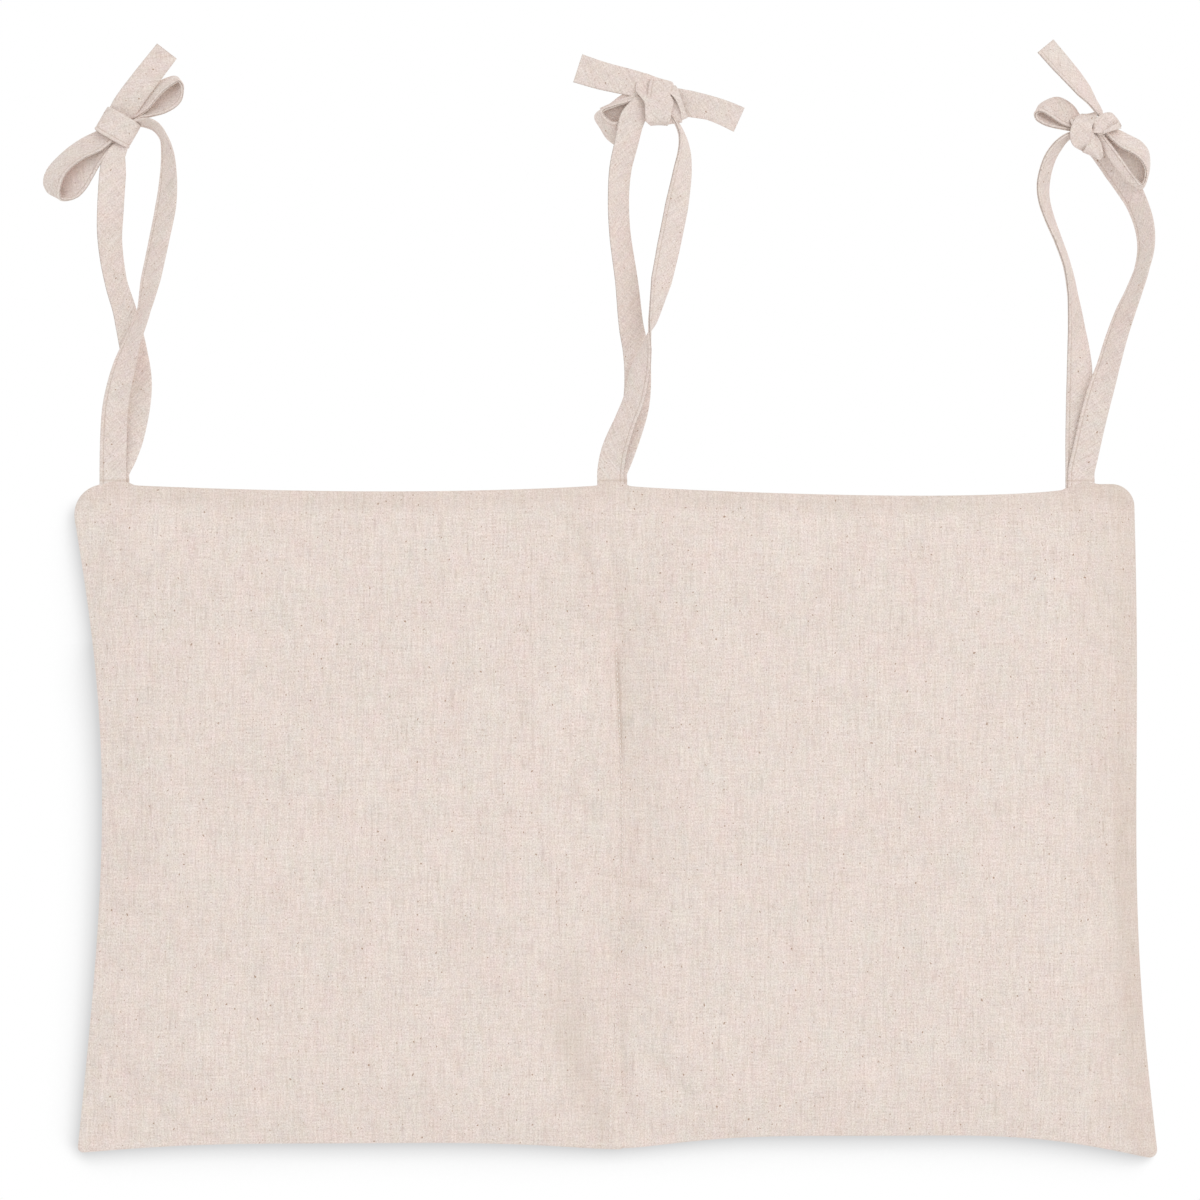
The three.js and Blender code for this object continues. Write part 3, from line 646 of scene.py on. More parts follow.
def edge_rings(steps):
    """The rounded edge as (outward, depth) pairs: a wide arc that the back runs into, and a quarter
    circle on the pocket side."""
    a, b = np.linspace(math.pi / 2 - LEAVE, 0, steps)[1:], np.linspace(0, math.pi / 2, steps)[1:-1]
    back_arc = np.stack([EDGE_RADIUS - BEAD + BEAD * np.cos(a), -BEAD * np.sin(a)], 1)
    front_arc = EDGE_RADIUS * np.stack([np.cos(b), np.sin(b)], 1)
    return np.concatenate([back_arc, front_arc])


def back_surface(u, v, x, z, crown, folds=0):
    """Points in mm of the back: the crown over the rim, and the folds over that."""
    return np.stack([x, -BEAD_DEPTH - crown * crown_share(u, v, 1, BACK_PINCH) - folds, z], -1)


def closed_sheet(back, front, rings=()):
    """Points and faces of a closed sheet: a back and a front grid, (rows, columns, 3), and between
    them rings round the edge, each (out, depth) in mm. Also the numbers of the back's edge."""
    rows, columns = back.shape[:2]
    total = rows * columns
    number = np.arange(total).reshape(rows, columns)
    edge = np.concatenate([number[:-1, 0], number[-1, :-1], number[:0:-1, -1], number[0, :0:-1]])
    count = len(edge)
    rim = back.reshape(-1, 3)[edge]
    along = np.roll(rim, -1, 0) - np.roll(rim, 1, 0)
    out = unit(np.stack([-along[:, 2], np.zeros(count), along[:, 0]], 1))
    if (out * (rim - rim.mean(0))).sum() < 0:
        out = -out
    base = rim * [1, 0, 1]
    ring_points = [base + out * o + [0, d, 0] for o, d in rings]
    points = np.concatenate([back.reshape(-1, 3), front.reshape(-1, 3), *ring_points])
    faces = [quads_of(rows, columns), quads_of(rows, columns)[:, ::-1] + total]
    ring_numbers = [2 * total + k * count + np.arange(count) for k in range(len(rings))]
    loops = [edge, *ring_numbers, edge + total]
    for first, second in zip(loops, loops[1:]):
        faces.append(np.stack([first, np.roll(first, -1), np.roll(second, -1), second], 1))
    faces = np.concatenate(faces)
    return points, outward(points, faces), edge


def simulate_filling():
    """How far the filling moves each point of the back, in mm, on the simulation's own grid."""
    us, vs = even_lines(SIM_CELL)
    u, v = np.meshgrid(us, vs, indexing="ij")
    x, z = outline_place(u, v)
    back = back_surface(u, v, x, z, FIRST_CROWN * BACK_CROWN)
    front = np.stack([x, front_depth(u, v), z], -1)
    points, faces, edge = closed_sheet(back, front, [(EDGE_RADIUS, 0)])
    mesh = bpy.data.meshes.new("filling")
    mesh.from_pydata((points * MM).tolist(), [], faces.tolist())
    pillow = bpy.data.objects.new("filling", mesh)
    scene.collection.objects.link(pillow)
    held = np.ones(len(points))
    stitched = (np.abs(u - DIVIDER_U) < 1e-9) & (v * BAG_HEIGHT > POCKET_HEADROOM)
    held[: u.size] = stitched.ravel()
    held[edge] = 1
    group = pillow.vertex_groups.new(name=SEWN)
    group.add(np.flatnonzero(held).tolist(), 1.0, "REPLACE")
    cloth = pillow.modifiers.new("cloth", "CLOTH")
    for setting, value in CLOTH.items():
        setattr(cloth.settings, setting, value)
    cloth.settings.effector_weights.gravity = 0
    cloth.point_cache.frame_start, cloth.point_cache.frame_end = 1, SIM_STEPS
    for step in range(1, SIM_STEPS + 1):
        scene.frame_set(step)
    shaped = pillow.evaluated_get(bpy.context.evaluated_depsgraph_get()).to_mesh()
    moved = np.zeros(len(points) * 3)
    shaped.vertices.foreach_get("co", moved)
    moved = moved.reshape(-1, 3)[: u.size] / MM - back.reshape(-1, 3)
    scene.frame_set(1)
    bpy.data.objects.remove(pillow)
    far = np.linalg.norm(moved, axis=1)
    moved *= (MOST_MOVE * np.tanh(far / MOST_MOVE) / np.maximum(far, 1e-9))[:, None]
    return us, vs, moved.reshape(len(us), len(vs), 3)


filled = simulate_filling()
if filled is not None:
    print("the filling moved the cloth by up to", round(float(np.abs(filled[2]).max()), 2), "mm")

# %% [markdown]
# ## The cloth of the bag
#
# The finished surface adds to the simulated one what is too fine for it. Down the divider the cloth
# is drawn up into a low ridge on the left and steps down on the right, sharply under the pocket
# mouths and softly below. Near the foot a fold runs into the seam from the left. Elsewhere long
# soft waves, mostly along the warp, keep the cloth from looking ironed.

# %% Folds of the back
SEAM_ROWS = [486, 640, 660, 753, 800, 860, 913, 951, 1037, 1090, 1145]
SEAM_COLUMNS = [612, 615.5, 616.5, 620.5, 622, 622, 620, 618, 615, 611, 609.5]
CREASE_ROWS = (655, 752, 22)  # first, last and soft rows of the sharp crease under the pocket mouths
RIDGES = [  # height, place right of the divider and width in mm, and the rows
    (1.5, -9.5, 6.2, (492, 960, 10)),
    (0.5, -9.5, 6.2, (492, 1150, 10)),
    (0.9, 0.0, 2.8, (500, 640, 12)),
    (0.9, 0.0, 2.8, (765, 1150, 16)),
    (-0.4, 0.2, 1.1, CREASE_ROWS),
    (-0.06, 0.0, 1.1, (650, 1146, 14)),
]
STEPS = [  # height, where it starts and is full, how far it runs out to the right, and the rows
    (-0.45, -0.8, 0.6, 9, CREASE_ROWS),
    (-0.2, -1.2, 1.2, 12, (500, 945, 16)),
]
PUCKER_HEIGHT, PUCKER_PITCH, PUCKER_WIDTH, PUCKER_ROWS = 0.10, 5.2, 5.5, (780, 1146, 40)
SOFT_FOLDS = [  # two picture points, and width and height in mm
    ((548, 960), (592, 1125), 13, -3.1),
    ((612, 520), (606, 640), 7, 0.5),
    ((655, 650), (660, 930), 14, -0.5),
    ((575, 640), (590, 680), 3, -0.2),
    ((400, 585), (590, 560), 16, -1.1),
    ((960, 760), (1080, 820), 34, -1.3),
    ((150, 1090), (540, 1085), 12, -0.5),
    ((1060, 500), (1052, 640), 9, 0.35),
]
WAVE_HEIGHT = 0.10
WAVES = [  # length across and down in mm, and phase
    (61, 92, 0.4),
    (37, 164, 1.9),
    (83, -124, 2.7),
    (29, 680, 4.4),
    (47, -840, 5.1),
    (19, 1040, 0.9),
]


def row_of(z):
    """The picture row of a height in mm."""
    return RAIL_PIXEL[1] - z * MM / PIXEL


def seam_across(z):
    """X in mm of the divider stitching at a height, through places read off the photograph."""
    return np.interp(row_of(z), SEAM_ROWS, across_at(SEAM_COLUMNS) / MM)


def rows_between(z, first, last, soft):
    """1 between two picture rows, fading over soft rows at both ends."""
    row = row_of(z)
    return smooth(row, first - soft, first + soft) * (1 - smooth(row, last - soft, last + soft))


def soft_fold(x, z, start, end, width, height):
    """A ridge (or a valley, if height is negative) along the line between two picture points: the
    height times a bell of the distance from the line, fading out at both ends."""
    a, b = (np.array([across_at(column), height_at(row)]) / MM for column, row in (start, end))
    run = b - a
    t = ((x - a[0]) * run[0] + (z - a[1]) * run[1]) / (run @ run)
    off = ((x - a[0]) * run[1] - (z - a[1]) * run[0]) / math.sqrt(run @ run)
    return height * smooth(t, -0.35, 0.25) * (1 - smooth(t, 0.75, 1.35)) * bell(off, width)


def back_folds(x, z):
    """Height in mm of the fine folds over the filled surface, positive towards the camera: ridges,
    steps and puckers along the divider, and the soft folds."""
    d = x - seam_across(z)
    height = np.zeros_like(x)
    for high, place, width, rows in RIDGES:
        height += high * bell(d - place, width) * rows_between(z, *rows)
    for high, low, full, reach, rows in STEPS:
        height += high * smooth(d, low, full) * fading(d, reach) * rows_between(z, *rows)
    pucker = np.sin(2 * np.pi * z / PUCKER_PITCH + 1.3 * np.sin(z / 11)) * bell(d, PUCKER_WIDTH)
    height += PUCKER_HEIGHT * pucker * rows_between(z, *PUCKER_ROWS)
    return height + sum(soft_fold(x, z, *fold) for fold in SOFT_FOLDS)


def gentle_waves(x, z):
    """A sum of long sine waves with fixed phases, mostly across the warp. Each is as much higher
    than the first as it is longer."""
    total = np.zeros_like(x)
    for across, down, phase in WAVES:
        total += np.sin(2 * np.pi * (x / across + z / down) + phase) * across / WAVES[0][0]
    return WAVE_HEIGHT * total


print("folds drawn from", len(SEAM_ROWS), "places along the divider")

# %% Painted shade in the folds, and tints at the edges
# painted shade in the divider's crease, in three folds and just right of the divider; the side, wide and
# top numbers tint the cloth where it turns in at the edges
CREASE_TINT, CREASE_OFFSET, CREASE_WIDTH = 0.57, 0.3, 1.2
SIDE_TINT, LOW_SIDE_TINT, LOW_SIDE_ROWS, SIDE_MM = 0.18, 0.2, (780, 1050, 60), (8, 15)
WIDE_TINT, WIDE_MM, TOP_TINT, TOP_MM = 0.2, (14, 46), 0.26, (4, 14)
MOST_TINT = 0.54
RIGHT_TINT, RIGHT_START, RIGHT_REACH, RIGHT_ROWS = 0.13, (-0.6, 2.0), 17, (515, 945, 25)
SHADED_FOLDS = [  # two picture points, width in mm and painted shade
    ((566, 960), (572, 1050), 13, 0.26),
    ((568, 1030), (600, 1130), 10, 0.32),
    ((576, 510), (576, 620), 11, 0.09),
]


def painted_shade_and_edge_tint(u, v, x, z):
    """How much darker the cloth is, from 0 to 1: painted shade in the crease, in three folds and just
    right of the divider, and a darker tint where it turns in at the right side and at the top."""
    d = x - seam_across(z)
    from_right, from_top = (1 - u) * MID_WIDTH, v * BAG_HEIGHT
    side = SIDE_TINT + LOW_SIDE_TINT * rows_between(z, *LOW_SIDE_ROWS)
    turned_in = side * (1 - smooth(from_right, *SIDE_MM)) + WIDE_TINT * (1 - smooth(from_right, *WIDE_MM))
    turned_in += TOP_TINT * (1 - smooth(from_top, *TOP_MM))
    # painted shade along the divider's crease
    shade_and_edge_tint = CREASE_TINT * bell(d - CREASE_OFFSET, CREASE_WIDTH) * rows_between(z, *CREASE_ROWS)
    dark = np.maximum(shade_and_edge_tint, np.minimum(turned_in, MOST_TINT))
    # painted shade in three folds
    dark += sum(soft_fold(x, z, *fold) for fold in SHADED_FOLDS)
    # painted shade just right of the divider
    right = smooth(d, *RIGHT_START) * fading(d, RIGHT_REACH) * rows_between(z, *RIGHT_ROWS)
    return dark + RIGHT_TINT * right


print("tints:", len(SHADED_FOLDS), "folds, the crease and the edges")

# %% Build the pillow
EDGE_CELL, DIVIDER_CELL, FIELD_CELL, CELL_GROWTH = 0.7, 0.45, 2.7, 0.09
SEAM_FADE = 14  # mm from the edge over which the folds rise
FRONT_CUT, RING_CUT = 0.9, 0.0007  # metres along the cut cloth from the back to the other parts


def fine_lines():
    """Grid lines in u and v, close together at the edges and the divider and wide in the field."""

    def graded(length, start, end):
        """Distances from 0 to length whose spacing grows from start to the field's and falls to end."""
        lines = [0.0]
        while lines[-1] < length:
            t = lines[-1]
            rest = max(0, length - t)
            lines.append(t + min(FIELD_CELL, start + CELL_GROWTH * t, end + CELL_GROWTH * rest))
        return np.array(lines) * length / lines[-1]

    left = graded(DIVIDER_U * MID_WIDTH, EDGE_CELL, DIVIDER_CELL)
    right = graded((1 - DIVIDER_U) * MID_WIDTH, DIVIDER_CELL, EDGE_CELL)
    down = graded(BAG_HEIGHT, EDGE_CELL, EDGE_CELL)
    return np.concatenate([left, left[-1] + right[1:]]) / MID_WIDTH, down / BAG_HEIGHT


def resample(lines, values, wanted):
    """Values on the wanted lines by Catmull-Rom interpolation from those on even stretches."""
    index = np.clip(np.searchsorted(lines, wanted, "right") - 1, 0, len(lines) - 2)
    t = ((wanted - lines[index]) / (lines[index + 1] - lines[index])).reshape(-1, 1, 1)
    p0, p1, p2, p3 = (values[np.clip(index + k, 0, len(lines) - 1)] for k in (-1, 0, 1, 2))
    return p1 + 0.5 * t * (p2 - p0 + t * (2 * p0 - 5 * p1 + 4 * p2 - p3 + t * (3 * (p1 - p2) + p3 - p0)))


us, vs = fine_lines()
u, v = np.meshgrid(us, vs, indexing="ij")
x, z = outline_place(u, v)
to_edge = np.minimum(np.minimum(u, 1 - u) * MID_WIDTH, np.minimum(v, 1 - v) * BAG_HEIGHT)
folds = (back_folds(x, z) + gentle_waves(x, z)) * roll(to_edge, SEAM_FADE)
crown = BACK_CROWN if filled is None else FIRST_CROWN * BACK_CROWN
back = back_surface(u, v, x, z, crown, folds)
if filled is not None:
    push = resample(filled[0], filled[2], us)
    back = back + resample(filled[1], push.transpose(1, 0, 2), vs).transpose(1, 0, 2)
front = np.stack([x, front_depth(u, v), z], -1)
rings = edge_rings(5)
points, faces, edge = closed_sheet(back, front, rings)
flat = np.stack([x, z], -1).reshape(-1, 2) * MM
ring_flat = points[2 * u.size :].reshape(len(rings), -1, 3)[..., [0, 2]] * MM
ring_flat += np.arange(len(rings))[:, None, None] * [RING_CUT, 0]
cut = np.concatenate([flat, flat + [0, FRONT_CUT], ring_flat.reshape(-1, 2)])
# painted shade on the back and its rim, with the tint where the cloth turns in; none on the pocket side
dark = painted_shade_and_edge_tint(u, v, x, z).ravel()
shade_and_edge_tint = np.concatenate([dark, np.zeros(u.size), *[dark[edge]] * len(rings)])
pillow = cloth_mesh("bag_pillow", points * MM, faces, cut, body_linen, shade_and_edge_tint)
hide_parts("back_panel", "wadding", "front_panel")
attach(pillow, "bag")
print("pillow", len(points), "points,", len(faces), "faces")

# %% [markdown]
# ## Stitches
#
# A stitch is a short bar of thread with rounded ends that dips into the cloth at both sides. One
# bar is a small grid, and copies of it are set along a path as one array.

# %% Stitch rows
BAR_STEPS, BAR_CORNERS = 7, 6


def stitch_row(name, path, out, pitch, length, radius):
    """Bars of thread along a path, which is a function that gives points in mm for the distance t
    along the row, from 0 to 1. Each bar bows out by its radius in the middle."""
    line = path(np.linspace(0, 1, 400))
    run = walked(line)
    count = int(run[-1] // pitch)
    starts = (np.arange(count) + 0.5) * run[-1] / count
    along = np.linspace(-0.5, 0.5, BAR_STEPS)
    at = starts[:, None] + along[None, :] * length
    thick = radius * np.sqrt(np.maximum(0.03, 1 - (2 * along) ** 2))
    centre = np.stack([np.interp(at, run, line[:, k]) for k in range(3)], -1)
    centre = centre + out * (thick[None, :, None] * 0.9 - radius * 0.1)
    way = unit(np.gradient(centre, axis=1))
    side = unit(np.cross(way, out))
    up = np.cross(side, way)
    turn = circle(BAR_CORNERS)
    ring = side[:, :, None] * np.cos(turn)[:, None] + up[:, :, None] * np.sin(turn)[:, None]
    points = (centre[:, :, None] + ring * thick[None, :, None, None]).reshape(-1, 3)
    cap = np.array([[0, 1, 2, 3], [0, 3, 4, 5]])
    sides = quads_of(BAR_STEPS, BAR_CORNERS, close_columns=True)
    one = np.concatenate([sides, cap[:, ::-1], cap + (BAR_STEPS - 1) * BAR_CORNERS])
    faces = (one[None] + np.arange(count)[:, None, None] * BAR_STEPS * BAR_CORNERS).reshape(-1, 4)
    return cloth_mesh(name, points * MM, outward(points, faces), np.zeros((len(points), 2)), thread)


def divider_path(t):
    """The stitching on the surface of the back, from the pocket mouths to the foot."""
    v = blend((POCKET_HEADROOM + 4) / BAG_HEIGHT, 0.992, t)
    at = np.argmin(np.abs(us - DIVIDER_U))
    height = np.interp(v, vs, back[at, :, 2])
    across = seam_across(height)
    lines = np.searchsorted(vs, v).clip(0, len(vs) - 1)
    depth = [np.interp(a, back[:, j, 0], back[:, j, 1]) for a, j in zip(across, lines)]
    return np.stack([across, depth, height], -1)


row = stitch_row("divider_stitches", divider_path, -AWAY, pitch=2.9, length=2.1, radius=0.42)
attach(row, "bag")
print("divider stitched")

# %% [markdown]
# ## Pockets
#
# Behind the divider hang two pockets. Each is a rectangle of cloth sewn to the bag at its sides
# and foot, wider than the space it is sewn to, so it bellies out most at the middle of its mouth.
# The cloth is doubled: the outer linen, a lining, and a hem band over both at the mouth. When the
# pocket gapes, the middle moves and the side seams stay, so each layer is made in two halves that
# meet at the middle.

# %% Pocket layers
CLEARANCE, LINING_PLY, POCKET_PLY, HEM_PLY = 0.3, 0.9, 1.2, 0.9
OUTER_START, HEM_START = LINING_PLY + 0.1, LINING_PLY + POCKET_PLY + 0.12
HEM_HEIGHT, HEM_BULGE, POCKET_GAPE, POCKET_SPLIT = 18, 0.35, 16, 0.8
FOLD_PHASE = {"left": 0.6, "right": 2.1}
EASE = 1.01  # how much larger the flat cloth is than the space it is sewn to
ACROSS_LINES, DOWN_LINES, HEM_LINES = 60, 90, 7
POCKET_CUT = 700  # mm along the cut cloth from the bag to the pockets
POCKETS = {
    "left": (0.0, DIVIDER_U - POCKET_SPLIT / 2 / MID_WIDTH),
    "right": (DIVIDER_U + POCKET_SPLIT / 2 / MID_WIDTH, 1.0),
}
LAYERS = {  # start and thickness behind the pocket's inner face, height, material and slot
    "lining": (0.0, LINING_PLY, 0.0, lining_linen, "lining"),
    "outer": (OUTER_START, POCKET_PLY, 0.0, body_linen, "linen"),
    "hem": (HEM_START, HEM_PLY, HEM_HEIGHT, body_linen, "linen"),
}


def pocket_stand(side, u, v):
    """Depth in mm of the inner face of a pocket: the front panel, a gap, and a belly that is a wave
    across to the power 0.7 and grows quickly from the foot, with two soft folds hanging in it."""
    first, last = POCKETS[side]
    across = np.clip((u - first) / (last - first), 0, 1)
    up = (1 - v) * BAG_HEIGHT / (BAG_HEIGHT - POCKET_HEADROOM)
    rise = 1 - (1 - np.clip(up, 0, 1)) ** 3
    belly = POCKET_GAPE * np.sin(np.pi * across) ** 0.7 * rise
    folds = 0.5 * np.sin(6 * np.pi * across + FOLD_PHASE[side]) * np.sin(np.pi * across) * up**1.5
    return front_depth(u, v) + CLEARANCE + belly + folds * np.clip(rise, 0, 1)


def half_ends(side, half):
    """U at the seam and at the middle of a pocket, the two ends of its half a or b."""
    first, last = POCKETS[side]
    return (first if half == "a" else last), (first + last) / 2


def pocket_half(side, layer, half):
    """One half of one layer, as a closed sheet that reaches from its seam to the pocket's middle,
    and the size of that half cut flat, in metres."""
    start, ply, height, material, slot = LAYERS[layer]
    seam, middle = half_ends(side, half)
    pu = np.sort(blend(seam, middle, np.linspace(0, 1, ACROSS_LINES) ** 1.5))
    foot = POCKET_HEADROOM + height if height else BAG_HEIGHT
    pv = np.linspace(POCKET_HEADROOM, foot, HEM_LINES if height else DOWN_LINES) / BAG_HEIGHT
    u, v = np.meshgrid(pu, pv, indexing="ij")
    x, z = outline_place(u, v)
    depth = pocket_stand(side, u, v) + start
    bulge = HEM_BULGE * np.sin(np.pi * (v - pv[0]) / (pv[-1] - pv[0])) if height else 0
    near, far = np.stack([x, depth, z], -1), np.stack([x, depth + ply + bulge, z], -1)
    points, faces, _ = closed_sheet(near, far)
    flat = np.stack([u * MID_WIDTH + POCKET_CUT, -v * BAG_HEIGHT], -1).reshape(-1, 2) * MM
    cut = np.concatenate([flat, flat + [FRONT_CUT, 0]])
    piece = cloth_mesh(f"{side}_pocket_{layer}_{half}", points * MM, faces, cut, material)
    piece.data.set_sharp_from_angle(angle=math.radians(40))  # so that the two halves meet without a line
    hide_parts(f"{side}_pocket_{layer}")
    width, height = float(pu[-1] - pu[0]) * MID_WIDTH, float(pv[-1] - pv[0]) * BAG_HEIGHT
    return piece, (width * EASE * MM, height * EASE * MM)


def bend_with_pocket(piece, side, half):
    """Bakes the piece's place into its mesh. The places of its seam and of the pocket's middle
    are worked out but not used.
    """
    seam, middle = outline_place(np.array(half_ends(side, half)), np.array([0.5, 0.5]))[0].tolist()
    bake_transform(piece)


for side in POCKETS:
    for half in "ab":
        made = {layer: pocket_half(side, layer, half) for layer in LAYERS}
        for piece, flat in made.values():
            bend_with_pocket(piece, side, half)
        piece, flat = made["outer"]
        piece, flat = made["lining"]
print("pockets:", len(POCKETS) * 6, "pieces")

# %% Hem stitches
HEM_INSET, HEM_END = 2, 0.004  # mm from the lower edge of the hem, and the share left free at the seam


def hem_path(side, half):
    """A row on the outer face of the pocket along the lower edge of its hem."""
    seam, middle = half_ends(side, half)
    seam += HEM_END if half == "a" else -HEM_END
    down = (POCKET_HEADROOM + HEM_HEIGHT - HEM_INSET) / BAG_HEIGHT

    def path(t):
        u = blend(seam, middle, t) if half == "a" else blend(middle, seam, t)
        v = np.full_like(u, down)
        x, z = outline_place(u, v)
        return np.stack([x, pocket_stand(side, u, v) + HEM_START + HEM_PLY, z], -1)

    return path


for side in POCKETS:
    for half in "ab":
        name = f"{side}_hem_stitches_{half}"
        row = stitch_row(name, hem_path(side, half), AWAY, pitch=3.0, length=2.2, radius=0.26)
        bend_with_pocket(row, side, half)
print("hems stitched")

# %% [markdown]
# ## Straps
#
# A strap is a strip of linen cut on the bias, folded so that its raw edges lie inside, and stitched
# along its open edge. Its section is a flat oval with a small groove in the open edge and a shallow
# valley under the stitching. The section is carried along a smooth path, and a strap that turns
# edge-on is the same section tilted about the path. All places are in mm from the foot of the tie:
# right, up, and back.

# %% Strap sweep
STRAP_WIDTH, STRAP_PLY = 15, 1.4
CUT_SPREAD = 800  # mm of cloth that the straps are cut from, each at a place of its own
STITCH_INSET, EDGE_FULLNESS = 2.1, 0.3
LAY_DEPTH = (STRAP_PLY + CLEARANCE) / 2
SEAM_LINE, SEAM_SHADE, SEAM_BLUR = 3.3, 0.8, 0.6  # painted shade where the straps come out of the seam
NEAR_STEPS = [0.0, 0.35, 0.9, 1.3, 1.6, 1.85, 2.1, 2.35, 2.7, 3.4]  # mm in from the stitched edge
FAR_STEPS = [0.55, 0.2, 0.0]  # mm in from the folded edge
VALLEY_WIDTH, VALLEY_DEPTH, FOLD_PLACE, FOLD_WIDTH = 0.24, 0.35, 0.9, 0.7
GROOVE_DEPTH, GROOVE_HALF, GROOVE_SHADE = 0.7, 0.05, 0.8
NARROW = 9  # a strap pressed narrower than this has a narrower fold too


def smooth_path(knots, count):
    """A centripetal Catmull-Rom curve through the knots: count points, evenly spread in the curve's
    own parameter, and that parameter from 0 to the last knot's number."""
    knots = np.asarray(knots, float)
    padded = np.concatenate([[2 * knots[0] - knots[1]], knots, [2 * knots[-1] - knots[-2]]])
    place = np.linspace(0, len(knots) - 1, count)
    index = np.minimum(place.astype(int), len(knots) - 2)
    share = (place - index)[:, None]
    p = [padded[index + k] for k in range(4)]
    gaps = [np.maximum(np.linalg.norm(p[k + 1] - p[k], axis=1), 1e-6)[:, None] ** 0.5 for k in range(3)]
    t1, t2, t3 = gaps[0], gaps[0] + gaps[1], gaps[0] + gaps[1] + gaps[2]
    t = t1 + share * (t2 - t1)
    middle = blend(p[1], p[2], (t - t1) / (t2 - t1))
    early = blend(blend(p[0], p[1], t / t1), middle, t / t2)
    late = blend(middle, blend(p[2], p[3], (t - t2) / (t3 - t2)), (t - t1) / (t3 - t1))
    return blend(early, late, (t - t1) / (t2 - t1)), place


def strap_section(width, stitched):
    """The folded strap as across and through in mm, and painted shade from 0 to 1, round its outline,
    a row for each width: flat faces with rounded edges. From the near edge inwards come a fuller
    fold, a stitched valley and the flat; a groove parts the two plies in the near edge. Shade is
    painted along both edges, in the stitched valley and in the groove."""
    half = width[:, None] / 2
    tight = np.minimum(1, 2 * half / NARROW)
    near = tight * NEAR_STEPS
    far = 2 * half - tight * FAR_STEPS
    field = near[:, -1:] + (far[:, :1] - near[:, -1:]) * np.linspace(0, 1, 6)[1:-1]
    inward = np.concatenate([near, field, far], 1)
    across = inward - half
    share = np.abs(across) / half
    thick = STRAP_PLY / 2 * np.sqrt(1 - 0.97 * np.minimum(share, 1) ** 16)
    # painted shade along the strap's two edges
    shade_and_edge_tint = 0.25 * share**30
    if stitched:
        valley = bell(inward / tight - STITCH_INSET, VALLEY_WIDTH)
        fuller = EDGE_FULLNESS * bell(inward / tight - FOLD_PLACE, FOLD_WIDTH)
        thick = thick + fuller - VALLEY_DEPTH * valley
        # painted shade in the stitched valley
        shade_and_edge_tint = shade_and_edge_tint + 0.75 * valley
    groove = np.concatenate([GROOVE_DEPTH * tight - half] * 2, 1)
    # painted shade in the groove between the plies
    sides, shade = np.full_like(groove, GROOVE_HALF) * [-1, 1], np.full_like(groove, GROOVE_SHADE)
    across = np.concatenate([across, across[:, ::-1], groove], 1)
    through = np.concatenate([thick, -thick[:, ::-1], sides], 1)
    return across, through, np.concatenate([shade_and_edge_tint, shade_and_edge_tint[:, ::-1], shade], 1)


def strap_mesh(centre, across, width, stitched=True, bow=0.0, shade=0.0, closed=False):
    """The section spread along the unit vectors across at each place of a centre line, and bowed in
    its middle by bow mm. Gives points, faces, flat places on the cut cloth, and painted shade."""
    run = np.roll(centre, -1, 0) - np.roll(centre, 1, 0) if closed else np.gradient(centre, axis=0)
    through = unit(np.cross(across, run))[:, None]
    over, thick, shade_and_edge_tint = strap_section(width, stitched)
    arch = bow * (1 - (2 * over / width[:, None]) ** 2)
    points = centre[:, None] + across[:, None] * over[..., None] + through * (thick + arch)[..., None]
    rings, corners = over.shape
    faces = [quads_of(rings, corners, close_columns=True, close_rows=closed)]
    if not closed:
        fan = np.arange(corners // 2 - 2)
        cap = np.stack([fan, fan + 1, corners - 4 - fan, corners - 3 - fan], 1)
        cap = np.concatenate([cap, [[corners - 3, corners - 2, corners - 1, 0]]])
        faces += [cap[:, ::-1], cap + (rings - 1) * corners]
    faces = np.concatenate(faces)
    flat = np.stack(np.broadcast_arrays(over, walked(centre)[:, None]), -1)
    flat = flat + np.where(thick[..., None] < 0, [60.0, 0.0], [0.0, 0.0]) + rng.uniform(0, CUT_SPREAD, 2)
    points = points.reshape(-1, 3)
    return points, outward(points, faces), flat.reshape(-1, 2), np.clip(shade_and_edge_tint + shade, 0, 1).ravel()


def sweep(stations, stitched="left", per_mm=1.5):
    """A strap along stations (right, up, back[, tilt][, width]): its width lies level and across the
    path, turned about the path by the tilt in degrees. It is stitched on its left, right or not.
    Where it comes out of the seam, a line of shade is painted on it."""
    knots = np.array([s[:3] for s in stations], float)[:, [0, 2, 1]]
    centre, place = smooth_path(knots, max(12, int(walked(knots)[-1] * per_mm)))
    run = unit(np.gradient(centre, axis=0))
    known = np.arange(len(stations))
    tilt = np.radians(np.interp(place, known, [s[3] if len(s) > 3 else 0 for s in stations]))[:, None]
    width = np.interp(place, known, [s[4] if len(s) > 4 else STRAP_WIDTH for s in stations])
    level = unit(np.cross(AWAY, run))
    across = level * np.cos(tilt) + np.cross(run, level) * np.sin(tilt)
    across = -across if stitched == "right" else across
    # painted shade: a dark line on the strap where it comes out of the seam
    in_seam = SEAM_SHADE * bell(centre[:, 2] - SEAM_LINE, SEAM_BLUR)
    return strap_mesh(centre, across, width, stitched=bool(stitched), shade=in_seam[:, None])


def ribbon(near, far, per_mm=1.0, **finish):
    """A strap between two edges, each a list of (column, row, depth): a place in the picture and how
    far it lies behind the seam plane. The near edge is the stitched one."""
    edges = [seen_at(*np.array(edge, float).T) for edge in (near, far)]
    count = max(12, int(max(walked(edge)[-1] for edge in edges) * per_mm))
    first, last = (smooth_path(edge, count)[0] for edge in edges)
    width = np.linalg.norm(last - first, axis=1)
    return strap_mesh((first + last) / 2, (last - first) / width[:, None], width, **finish)


print("strap", STRAP_WIDTH, "mm wide")

